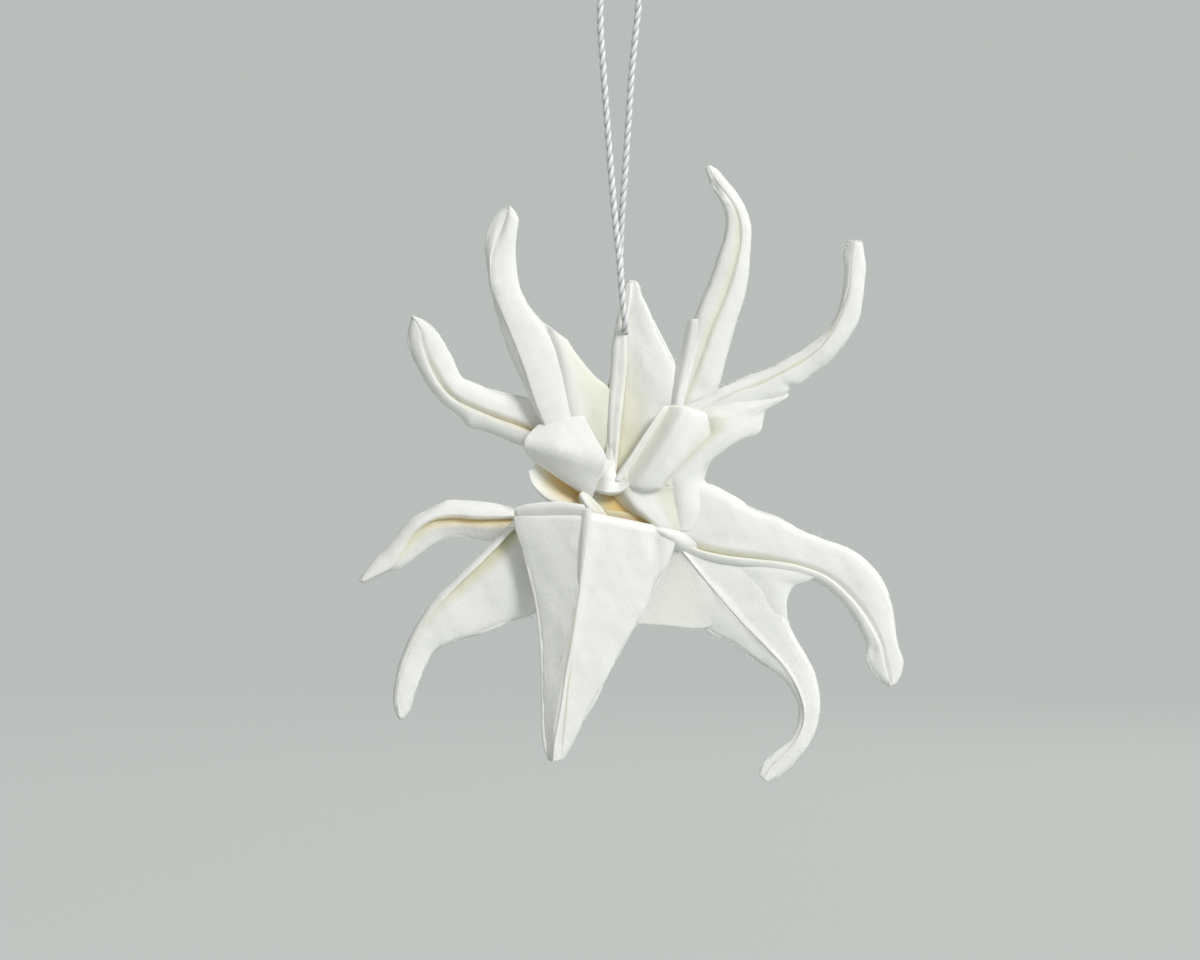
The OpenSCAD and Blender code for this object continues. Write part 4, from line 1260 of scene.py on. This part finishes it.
                ((580, 494, -2.9), (584, 501, -3.35), (588, 507, -3.45), (592, 514, -3.45), (598, 523, -3.3)),
                ((579, 497, -2.5), (581, 503, -2.7), (584, 510, -2.8), (587, 517, -2.9), (592, 525, -2.8))),
                thickness=0.1, lines=24, columns=30, uneven=0.2, painted_shade=((0.3,), (0.3, 0.4, 0.4), (0,), (0,))),
        )


@dataclass
class Webs:
    """The plain stretches of paper between the arms, and the layer along one of them."""

    def leaves(self) -> Sequence[Leaf]:
        """Gives the webs and the layer.

        Returns:
            The leaves.
        """
        # The two webs carry painted shade beside the parts they meet
        return (
            Leaf("left_web", (
                ((541, 322, -0.6), (552, 329, -1.2), (560, 335, -1.1), (567, 340, -0.9)),
                ((548, 345, -0.7), (559, 346, -1.35), (569, 350, -1.15), (578, 357, -0.7)),
                ((553, 363, -0.8), (565, 365, -1.4), (579, 370, -1.0), (594, 376, -0.5)),
                ((558, 386, -0.8), (571, 387, -1.35), (590, 390, -0.95), (610, 392, -0.45)),
                ((563, 415, -0.7), (576, 418, -1.25), (594, 421, -1.05), (610, 424, -0.8)),
                ((576, 462, -0.6), (588, 462, -1.1), (600, 465, -1.3), (610, 470, -1.5))),
                painted_shade=((0, 0.05, 0.2, 0.25), (0, 0.12, 0.4, 0.45), (0, 0.15, 0.5, 0.5))),
            Leaf("right_web", (
                ((695, 404, -1.9), (712, 401, -2.2), (730, 397, -2.3), (760, 390, -1.9), (782, 388, -1.5)),
                ((699, 418, -2.7), (711, 416, -3.15), (724, 414, -3.0), (742, 409, -2.7), (766, 402, -2.1),
                 (787, 396, -1.5)),
                ((701, 425, -2.8), (713, 422, -3.2), (728, 420, -3.05), (742, 416, -2.7), (762, 408, -2.1),
                 (780, 401, -1.6)),
                ((703, 434, -2.6), (715, 430, -3.15), (730, 426, -3.0), (748, 419, -2.4), (765, 410, -1.7)),
                ((698, 439, -2.5), (711, 436, -3.1), (726, 434, -3.0), (745, 427, -2.4), (762, 420, -1.6)),
                ((692, 444, -2.5), (705, 441, -3.15), (718, 440, -3.1), (740, 434, -2.4), (757, 433, -1.5)),
                ((678, 458, -2.6), (690, 456, -3.25), (704, 454, -3.2), (722, 450, -2.4), (733, 442, -1.5)),
                ((661, 477, -2.7), (673, 476, -3.3), (688, 476, -3.25), (702, 469, -2.5), (712, 460, -1.5)),
                ((664, 489, -2.4), (677, 489, -3.15), (688, 489, -3.1), (697, 485, -2.5), (703, 479, -1.5)),
                ((668, 503, -2.4), (679, 503, -3.15), (690, 502, -3.1), (701, 497, -2.5), (712, 488, -1.5)),
                ((669, 517, -2.4), (680, 517, -3.1), (692, 515, -3.0), (706, 509, -2.4), (722, 500, -1.3)),
                ((670, 530, -2.4), (681, 530, -2.95), (696, 530, -2.6), (712, 526, -2.1), (730, 518, -1.0))),
                lines=84, columns=72,
                painted_shade=((0.1,), *((shade_amount, shade_amount, 0, 0, 0, 0) for shade_amount in (0.2, 0.4, 0.5, 0.5, 0.5, 0.5, 0.3)),
                      (0,), (0,), (0,), (0,))),
            Leaf("outer_layer", (
                ((688, 321, -0.2), (683, 343, -0.2), (677.5, 366, -0.3), (672, 390, -0.5), (668, 414, -0.8)),
                ((690, 320.5, -0.7), (685.5, 343, -0.75), (680.5, 366, -0.8), (675, 390, -1.0),
                 (671, 414, -1.3)),
                ((693, 320, -1.1), (689, 343, -1.15), (684, 366, -1.2), (678.5, 390, -1.4), (674, 414, -1.7)),
                ((699, 320, -1.2), (694.5, 343, -1.22), (688.5, 366, -1.25), (682, 390, -1.4),
                 (677, 414, -1.7)),
                ((705, 319.5, -1.1), (699, 343, -1.1), (692, 366, -1.1), (685, 390, -1.2), (679, 414, -1.5)),
                ((708, 320, -0.6), (701, 343, -0.6), (694, 366, -0.6), (687, 390, -0.7), (681, 414, -0.9))),
                thickness=0.16, lines=40, uneven=0.3),
        )


@dataclass
class Body:
    """The tight layers in the middle, closed behind by a faceted back.

    The edge is drawn once at its own depth, and once further forwards and a little smaller.
    """

    edge: Row = ((575, 417), (543, 435), (541, 451), (543, 481), (555, 503), (565, 527), (591, 544),
                 (651, 544), (683, 535), (693, 499), (695, 479), (719, 441), (721, 425), (677, 401),
                 (645, 393), (595, 399))
    ridge: Row = ((613, 423, 2.4), (613, 449, 3.8), (609, 519, 3.8), (601, 541, 2.6))

    depth: float = 1.3
    front_depth: float = 0.5
    front_share: float = 0.9

    def build(self) -> bpy.types.Object:
        """Makes the layers as one closed faceted piece.

        Returns:
            The piece.
        """
        middle = np.array(self.edge, float).mean(0)
        places = [(u, v, self.depth) for u, v in self.edge]
        places += [(*(middle + self.front_share * (np.array(place) - middle)), self.front_depth)
                   for place in self.edge]
        p = np.array(places + list(self.ridge), float)
        points = DRAWING.place(p[:, :2], p[:, 2])
        bm = bmesh.new()
        for q in points:
            bm.verts.new(Vector(q * MM))
        bmesh.ops.convex_hull(bm, input=list(bm.verts))
        for v in [v for v in bm.verts if not v.link_faces]:
            bm.verts.remove(v)
        mesh = bpy.data.meshes.new("body_back")
        bm.to_mesh(mesh)
        bm.free()
        return placed("body_back", mesh)


@dataclass
class Back:
    """The folds behind: pleats from the spine to each flap and both sides, and the spine over their ends.

    Each pleat is a line of right, down, depth and half breadth, from the spine outwards. Its section is a
    list of places across, as shares of the half breadth, and of drops in millimetres, which soften outwards
    to a last share.
    """

    lines: Mapping[str, Row] = field(default_factory=lambda: {
        "pleat_arm_1": ((602, 452, 3.7, 9), (572, 438, 2.8, 15), (545, 427, 2.0, 14), (500, 411, 0.7, 5)),
        "pleat_arm_2": ((606, 432, 3.5, 9), (580, 410, 2.4, 15), (562, 385, 1.2, 14), (543, 342, -0.5, 5)),
        "pleat_top": ((613, 424, 3.4, 9), (622, 400, 2.6, 17), (631, 370, 1.7, 16), (634, 342, 0.3, 6)),
        "pleat_arm_3": ((620, 434, 3.5, 8), (662, 408, 2.5, 14), (697, 380, 1.7, 13), (711, 330, 0.2, 5)),
        "pleat_arm_4": ((621, 452, 3.7, 8), (680, 425, 2.2, 13), (720, 409, 0.6, 11), (768, 384, -1.2, 4)),
        "pleat_side_right": ((619, 474, 3.9, 8), (650, 471, 3.1, 16), (678, 469, 2.1, 17),
                             (700, 467, 0.4, 8)),
        "pleat_arm_5": ((619, 500, 3.8, 8), (680, 500, 2.0, 15), (720, 512, 0.4, 15), (772, 535, -1.2, 5)),
        "pleat_arm_6": ((612, 525, 3.6, 8), (650, 545, 1.8, 13), (690, 572, 0.3, 12), (728, 613, -1.2, 4)),
        "pleat_mantle": ((606, 531, 3.5, 8), (605, 560, 1.3, 17), (599, 600, -0.9, 20), (584, 660, -3.8, 7)),
        "pleat_arm_7": ((601, 520, 3.7, 8), (570, 535, 2.2, 13), (540, 560, 0.9, 14), (494, 606, -0.7, 5)),
        "pleat_arm_8": ((600, 492, 3.8, 8), (568, 506, 3.1, 12), (540, 519, 2.6, 10), (490, 522, 1.0, 4)),
        "pleat_side_left": ((601, 471, 3.9, 8), (580, 470, 3.2, 13), (558, 468, 2.2, 13),
                            (542, 467, 0.9, 7))})
    section: Row = ((-1.0, 1.2), (-0.55, 0.5), (0.0, 0.0), (0.6, 0.35), (1.0, 1.0))
    last_share: float = 0.25

    def pleat(self, name: str, line: Row) -> Leaf:
        """Gives one pleat: a ridge with a slope to each side.

        Args:
            name: The piece's name.
            line: Right, down, depth and half breadth, from the spine outwards.

        Returns:
            The pleat as a leaf.
        """
        p = np.asarray(line, float)
        ahead = unit(np.gradient(p[:, :2], axis=0))
        across = np.stack([-ahead[:, 1], ahead[:, 0]], -1)
        soft = np.linspace(1.0, self.last_share, len(p))
        rows = [np.column_stack([p[:, :2] + across * p[:, 3:] * share, p[:, 2] - drop * soft]).tolist()
                for share, drop in self.section]
        return Leaf(name, rows, lines=26, columns=44)

    def leaves(self) -> Sequence[Leaf]:
        """Gives the pleats and the spine.

        Returns:
            The leaves.
        """
        spine = Leaf("back_spine", (
            ((604, 412, 2.3), (603, 436, 3.6), (602, 480, 3.9), (599, 520, 3.8), (595, 548, 2.2)),
            ((608, 409, 2.9), (608, 436, 4.1), (606, 480, 4.3), (603, 520, 4.25), (599, 551, 2.8)),
            ((613, 407, 3.0), (612, 436, 4.2), (610, 480, 4.4), (607, 520, 4.35), (602, 553, 2.9)),
            ((617, 409, 2.8), (617, 436, 4.0), (615, 480, 4.2), (611, 520, 4.15), (605, 551, 2.7)),
            ((622, 412, 2.2), (622, 436, 3.5), (620, 480, 3.8), (616, 520, 3.7), (608, 548, 2.1))),
            lines=26, columns=60)
        return (*(self.pleat(name, line) for name, line in self.lines.items()), spine)


@dataclass(frozen=True)
class Tuft:
    """Loose fibres at a worn tip: its drawn place and depth, and their number, length and looseness.

    The spread and the scatter tell how far their directions and their roots vary along X, Y and Z.
    """

    right: float
    down: float
    depth: float
    count: int
    length: float
    loose: float
    spread: Tuple[float, float, float] = (1.0, 0.6, 0.6)
    scatter: Tuple[float, float, float] = (1.0, 0.3, 0.4)

    def roots(self, rng: np.random.Generator) -> Sequence[Tuple[np.ndarray, np.ndarray, float]]:
        """Gives the hairs of the tuft.

        Args:
            rng: The source of their places.

        Returns:
            A root, a direction and a length for each hair.
        """
        centre = DRAWING.place(np.array([self.right, self.down], float), np.array(self.depth))
        scatter = self.loose * np.array(self.scatter)
        hairs = []
        for _ in range(self.count):
            ahead = unit(rng.normal(size=3) * self.spread)
            hairs.append((centre + rng.normal(size=3) * scatter, ahead, self.length))
        return hairs


@dataclass
class Fuzz:
    """Loose paper fibres that stand out along the fold edges and at the worn tips.

    The corners are the angles of a hair's corners, and its bend and its thinning are shares of its length
    and thickness. Edges are sampled evenly, and their first and last samples, as many as the margin says,
    stay bare. The spacing along an edge is in drawing steps, and other sizes are in millimetres.
    """

    seed: int = 7
    thick: float = 0.05
    thinning: float = 0.75
    bend: float = 0.9
    curl: float = 0.45
    rings: int = 6
    corners: Sequence[float] = (0, 2.094, 4.189)
    spacing: float = 9
    edge_length: float = 0.28
    edge_lift: float = 0.2
    edge_depth: float = 0.08
    edge_spread: float = 0.75
    shortest: float = 0.5
    longest: float = 1.7
    samples: int = 400
    margin: int = 8
    tufts: Sequence[Tuft] = (
        Tuft(853, 245, -2.45, 90, 0.35, 0.5), Tuft(845.5, 249, -2.45, 8, 0.8, 0.1),
        Tuft(400, 714, -2.9, 10, 0.3, 0.12), Tuft(766, 774, -3.05, 10, 0.3, 0.15),
        Tuft(549, 753, -5.5, 20, 0.35, 0.3), Tuft(366, 578, -0.6, 10, 0.3, 0.12),
        Tuft(887, 680, -2.45, 10, 0.3, 0.25), Tuft(709, 171, -1.4, 8, 0.3, 0.12),
        Tuft(690, 322, -0.8, 12, 0.3, 0.15))

    def hair(self, rng: np.random.Generator, root: np.ndarray, ahead: np.ndarray,
             length: float) -> np.ndarray:
        """Gives the rings of one curved hair.

        Args:
            rng: The source of its bends.
            root: Where it leaves the paper, in millimetres.
            ahead: The direction in which it leaves.
            length: Its length in millimetres.

        Returns:
            Rings of corner points, from the root to the end.
        """
        bend = rng.normal(size=3) * self.bend
        side = unit(np.cross(ahead, rng.normal(size=3)))
        up = np.cross(ahead, side)
        rings = []
        for k in range(self.rings):
            t = k / (self.rings - 1)
            middle = root + ahead * length * t + bend * length * t * t * self.curl
            r = self.thick * (1 - self.thinning * t)
            rings.append([middle + r * (math.cos(a) * side + math.sin(a) * up) for a in self.corners])
        return np.array(rings)

    def along(self, line: Row, depth: float, outward: float,
              count: int) -> Sequence[Tuple[np.ndarray, np.ndarray]]:
        """Gives roots and directions of hairs along a drawn edge.

        Args:
            line: The edge in drawing steps.
            depth: Its depth in millimetres.
            outward: 1 or -1, the side of the line that is free.
            count: How many hairs.

        Returns:
            A root and a direction for each hair.
        """
        rng = np.random.default_rng(self.seed + int(abs(line[0][0])))
        q = DRAWING.place(even_line(line, self.samples), np.full(self.samples, depth))
        ahead = unit(np.gradient(q, axis=0))
        out = outward * np.cross(ahead, (0.0, 1.0, 0.0))
        picks = rng.integers(self.margin, self.samples - self.margin, count)
        return [(q[i] - out[i] * self.edge_depth, unit(out[i] + rng.normal(size=3) * self.edge_spread))
                for i in picks]

    def free_side(self, line: Row, slit: Row) -> int:
        """Tells on which side of an edge the air is, which is away from the flap's slit.

        Args:
            line: The edge in drawing steps.
            slit: The slit in drawing steps.

        Returns:
            1 or -1.
        """
        p, s = even_line(line, 9), even_line(slit, 9)
        middle = len(p) // 2
        ahead = p[middle + 1] - p[middle]
        towards = s[middle] - p[middle]
        return 1 if ahead[0] * towards[1] - ahead[1] * towards[0] > 0 else -1

    def faces(self, first: int) -> Sequence[Sequence[int]]:
        """Gives the faces of one hair.

        Args:
            first: The number of its first point.

        Returns:
            Corner numbers of its sides and its two ends.
        """
        n = len(self.corners)
        last = first + n * (self.rings - 1)
        faces = []
        for k in range(first, last, n):
            for j in range(n):
                a, b = k + j, k + (j + 1) % n
                faces.append([a, b, b + n, a + n])
        return faces + [list(range(first, first + n))[::-1], list(range(last, last + n))]

    def build(self, flaps: Sequence[Flap]) -> bpy.types.Object:
        """Makes all hairs as one piece.

        Args:
            flaps: The flaps whose edges carry hairs.

        Returns:
            The piece.
        """
        rng = np.random.default_rng(self.seed)
        roots = []
        for flap in flaps:
            middle = float(np.mean(flap.depth)) - self.edge_lift
            for line in (flap.left, flap.right):
                length = float(np.linalg.norm(np.diff(np.asarray(line, float), axis=0), axis=1).sum())
                hairs = self.along(line, middle, self.free_side(line, flap.slit), int(length / self.spacing))
                roots += [(root, ahead, self.edge_length) for root, ahead in hairs]
        for tuft in self.tufts:
            roots += tuft.roots(rng)
        points, faces = [], []
        for root, ahead, size in roots:
            faces += self.faces(self.rings * len(self.corners) * len(points))
            length = size * rng.uniform(self.shortest, self.longest)
            points.append(self.hair(rng, root, ahead, length).reshape(-1, 3))
        return solid_mesh("paper_fibres", np.vstack(points), faces)


@dataclass
class Octopus:
    """The whole folded sheet."""

    def parts(self) -> Sequence[Union[Flap, Leaf, Body]]:
        """Gives every part of the sheet.

        Returns:
            The parts, in the order of making.
        """
        head, mantle = Head(), Mantle()
        return (*UpperArms().flaps(), *LowerArms().flaps(), head.flap(), mantle.flap(), *head.leaves(),
                *mantle.leaves(), *Webs().leaves(), Body(), *Back().leaves())

    def build(self, finish: bpy.types.Material) -> Sequence[bpy.types.Object]:
        """Makes every piece of the sheet, dresses it and reports it.

        Args:
            finish: The paper's material.

        Returns:
            The pieces.
        """
        parts = self.parts()
        pieces = [part.build() for part in parts]
        pieces.append(Fuzz().build([part for part in parts if isinstance(part, Flap)]))
        for piece in pieces:
            if piece.name == "top_flap":
                Head().pierce(piece)
            piece.data.materials.append(finish)
            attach(piece, "root")
            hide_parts("folded_paper")
            LOG.info("%s: %d faces", piece.name, len(piece.data.polygons))
        return pieces


# The thread


@dataclass
class Thread:
    """Two-ply twisted thread along its route, and the knot that joins its ends.

    The yarn's core, plies and strands are shares of its radius: how far each stands out of the one before.
    The strands lean back by a share of the twist. The knot's own sizes are in millimetres, and its waves are
    the share of its size by which its lobes stand out.
    """

    route: Row = (
        (-1.9, -0.3, 5.8), (-1.05, -0.2, 4.3), (-0.55, -0.1, 3), (-0.5, 0, 1.9), (-0.9, 0, 0.9),
        (-1.6, 0, -0.2), (-2.2, 0, -1.6), (-2.52, 0, -3.6), (-2.48, 0, -7), (-2.1, 0, -12.5), (-1.62, 0, -19),
        (-1.12, -0.2, -25.5), (-0.6, -0.8, -31.5), (-0.1, -1.4, -36.3), (0.2, -1.85, -39.8), (0.4, -2, -42.3),
        (0.6, -2, -44.1), (0.7, -1.73, -45.1), (0.7, -1, -45.83), (0.7, 0, -46.1), (0.7, 1, -45.83),
        (0.7, 1.73, -45.1), (0.6, 2, -44.1), (0.45, 2, -42.3), (0.25, 1.85, -39.8), (0.1, 1.4, -36.3),
        (0.25, 0.8, -31.5), (0.68, 0.2, -25.5), (1.12, 0, -19), (1.56, 0, -12.5), (2.1, 0, -7),
        (2.45, 0, -3.6), (2.2, 0, -1.6), (1.6, 0, -0.2), (0.9, 0, 0.9), (0.5, 0, 1.9), (0.55, 0.1, 3),
        (1, 0.2, 4.2), (1.6, 0.4, 5.3))
    diameter: float = 0.9
    pitch: float = 3.0
    rings: int = 1300
    corners: int = 36
    core: float = 0.60
    ply: float = 0.36
    ply_power: float = 0.75
    groove_shade_power: float = 0.6
    strand: float = 0.045
    strands: int = 9
    lean: float = 2.2
    swell: float = 0.02
    swell_rate: float = 2.1
    end_round: float = 0.97
    knot_height: float = 2.2
    knot_diameter: float = 0.72
    knot_rings: int = 260
    knot_wide: float = 0.40
    knot_tall: float = 0.36
    knot_deep: float = 0.42
    knot_waves: float = 1.7

    def axes(self, path: np.ndarray, closed: bool) -> Tuple[np.ndarray, np.ndarray]:
        """Gives two directions across a path that turn no more than they must.

        Args:
            path: Evenly spaced points.
            closed: Whether the path's end joins its start.

        Returns:
            The side and the up direction at each point.
        """
        ahead = unit(np.roll(path, -1, 0) - np.roll(path, 1, 0) if closed else np.gradient(path, axis=0))
        side = np.zeros_like(path)
        side[0] = unit(np.cross(ahead[0], (0.0, 1.0, 0.0)))
        for i in range(1, len(path)):
            v = side[i - 1] - ahead[i] * (side[i - 1] @ ahead[i])
            side[i] = v / np.linalg.norm(v)
        return side, np.cross(ahead, side)

    def yarn(self, name: str, path: np.ndarray, diameter: float, closed: bool = False) -> bpy.types.Object:
        """Makes one twisted yarn along a path.

        Args:
            name: The piece's name.
            path: Evenly spaced points, in millimetres.
            diameter: The yarn's diameter, in millimetres.
            closed: Whether the path's end joins its start.

        Returns:
            The yarn, with the painted shade of its grooves and its strands as point attributes.
        """
        n, k = len(path), self.corners
        side, up = self.axes(path, closed)
        run = np.concatenate([[0], np.cumsum(np.linalg.norm(np.diff(path, axis=0), axis=1))])
        turns = max(round(run[-1] / self.pitch), 1) if closed else run[-1] / self.pitch
        twist = 2 * math.pi * turns * run / run[-1]
        a = np.linspace(0, 2 * math.pi, k, endpoint=False)
        lobe = np.abs(np.cos(a))[None, :]
        strands = 0.5 + 0.5 * np.cos(self.strands * a[None, :] - self.lean * twist[:, None])
        r = diameter / 2 * (self.core + self.ply * lobe ** self.ply_power + self.strand * strands * lobe)
        r = r * (1 + self.swell * np.sin(run * self.swell_rate)[:, None])
        if not closed:
            cut = np.minimum(run, run[-1] - run) / (0.5 * diameter)
            r = r * np.sqrt(1 - (1 - np.clip(cut, 0, 1)) ** 2 * self.end_round)[:, None]
        turn = (a[None, :] + twist[:, None])[..., None]
        points = path[:, None] + r[..., None] * (side[:, None] * np.cos(turn) + up[:, None] * np.sin(turn))
        index = np.arange(n * k).reshape(n, k)
        last = np.roll(index, -1, 0) if closed else index[1:]
        first = index if closed else index[:-1]
        faces = np.stack([first, np.roll(first, -1, 1), np.roll(last, -1, 1), last], -1)
        faces = faces.reshape(-1, 4).tolist()
        if not closed:
            faces += [index[0][::-1].tolist(), index[-1].tolist()]
        # Painted shade where the two plies meet
        groove_shade = np.broadcast_to(1 - lobe ** self.groove_shade_power, (n, k))
        fields = {"groove_shade": groove_shade.ravel(), "strand": strands.ravel()}
        return solid_mesh(name, points.reshape(-1, 3), faces, fields)

    def build(self, finish: bpy.types.Material) -> Sequence[bpy.types.Object]:
        """Args:
            finish: The thread's material.

        Returns:
            The two pieces.
        """
        path = even_line(self.route, self.rings)
        thread = self.yarn("thread_loop", path, self.diameter)
        knot = self.knot()
        for piece in (thread, knot):
            piece.data.materials.append(finish)
            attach(piece, "root")
        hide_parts("hanging_thread")
        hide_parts("hanging_thread")
        return thread, knot

    def knot(self) -> bpy.types.Object:
        """Makes the overhand knot as a closed three-lobed turn of the same yarn.

        Returns:
            The piece.
        """
        s = np.linspace(0, 2 * math.pi, self.knot_rings, endpoint=False)
        x = self.knot_wide * (np.sin(s) + self.knot_waves * np.sin(2 * s))
        z = self.knot_tall * (np.cos(s) - self.knot_waves * np.cos(2 * s))
        y = -self.knot_deep * np.sin(3 * s)
        path = np.stack([x, y, z + self.knot_height], -1)
        return self.yarn("thread_knot", path, self.knot_diameter, closed=True)


# The studio


@dataclass(frozen=True)
class Lamp:
    """A soft round lamp that faces the object: its place and size in metres, and its power in watts."""

    name: str
    place: Tuple[float, float, float]
    size: float
    power: float
    colour: Colour

    def build(self, aim: Sequence[float]) -> bpy.types.Object:
        """Makes the lamp.

        Args:
            aim: The point that it faces.

        Returns:
            The lamp.
        """
        data = bpy.data.lights.new(self.name, "AREA")
        data.shape, data.size, data.energy, data.color = "DISK", self.size, self.power, self.colour
        lamp = placed(self.name, data)
        lamp.location = self.place
        lamp.rotation_mode = "QUATERNION"
        lamp.rotation_quaternion = (Vector(aim) - Vector(self.place)).to_track_quat("-Z", "Y")
        return lamp


@dataclass(frozen=True)
class Sweep:
    """The pale round floor that curves up into the backdrop. Sizes are in metres."""

    low: float = -0.165
    reach: float = 1.9
    bend: float = 0.5
    top: float = 0.55
    sides: int = 72
    floor_rings: int = 11
    bend_rings: int = 20

    def build(self) -> bpy.types.Object:
        """Makes the sweep.

        Returns:
            The sweep.
        """
        n, flat = self.sides, self.reach - self.bend
        line = [(r, self.low) for r in np.linspace(0.0, flat, self.floor_rings + 1)[1:]]
        line += [(flat + self.bend * math.sin(a), self.low + self.bend - self.bend * math.cos(a))
                 for a in np.linspace(0, math.pi / 2, self.bend_rings + 1)[1:]]
        line += [(self.reach, self.top)]
        angles = [2 * math.pi * k / n for k in range(n)]
        points = [(0.0, 0.0, self.low)]
        points += [(r * math.cos(a), r * math.sin(a), z) for r, z in line for a in angles]
        faces = [(0, 1 + k, 1 + (k + 1) % n) for k in range(n)]
        for a in range(1, 1 + (len(line) - 1) * n, n):
            b = a + n
            faces += [(a + k, b + k, b + (k + 1) % n, a + (k + 1) % n) for k in range(n)]
        mesh = bpy.data.meshes.new("studio_sweep")
        mesh.from_pydata(points, [], faces)
        mesh.polygons.foreach_set("use_smooth", [True] * len(faces))
        sweep = placed("studio_sweep", mesh)
        mesh.materials.append(BackdropFinish().build())
        return sweep


@dataclass
class Studio:
    """Camera at the photograph's height and angle, plain lamps, and a pale sweep behind."""

    aim: Tuple[float, float, float] = (-0.00255, 0.0, -0.06537)
    lens: float = 100.0
    sensor: float = 36.0
    breadth: float = 0.156
    near: float = 0.01
    far: float = 10.0
    lamps: Sequence[Lamp] = (
        Lamp("main_light", (0.48, -0.50, 0.44), 0.30, 5.8, (1.0, 0.995, 0.99)),
        Lamp("left_light", (-0.45, -0.60, 0.25), 0.45, 0.25, (0.97, 1.0, 0.95)),
        Lamp("back_light", (0.35, 0.75, 0.35), 0.45, 2.0, (1.0, 1.0, 0.98)))
    sky: Colour = (0.97, 0.97, 0.91)
    sky_strength: float = 0.45

    def camera(self) -> bpy.types.Object:
        """Makes the camera, level and square to the row's front.

        Returns:
            The camera.
        """
        data = bpy.data.cameras.new("camera")
        data.lens = self.lens
        data.sensor_width = self.sensor
        data.clip_start, data.clip_end = self.near, self.far
        cam = placed("camera", data)
        cam.location = (self.aim[0], self.aim[1] - self.breadth * self.lens / self.sensor, self.aim[2])
        cam.rotation_euler = (math.radians(90), 0.0, 0.0)
        bpy.context.scene.camera = cam
        return cam

    def world(self) -> bpy.types.World:
        """Lights everything with a level sky.

        Returns:
            The world.
        """
        world = bpy.data.worlds.new("level_sky")
        world.use_nodes = True
        book = NodeBook(world.node_tree)
        sky = book.add("ShaderNodeBackground", None,
                       {"Color": (*self.sky, 1.0), "Strength": self.sky_strength})
        book.add("ShaderNodeOutputWorld", None, {"Surface": sky})
        bpy.context.scene.world = world
        return world

    def build(self) -> None:
        """Makes the whole studio."""
        self.camera()
        for lamp in self.lamps:
            lamp.build(self.aim)
        self.world()
        Sweep().build()
        bpy.context.scene.view_settings.view_transform = "Standard"


def main() -> None:
    """Builds the studio, the thread and the folded sheet in order."""
    logging.basicConfig(level=logging.INFO, format="%(message)s")
    Studio().build()
    Thread().build(ThreadFinish().build())
    Octopus().build(PaperFinish().build())


if __name__ == "__main__":
    main()
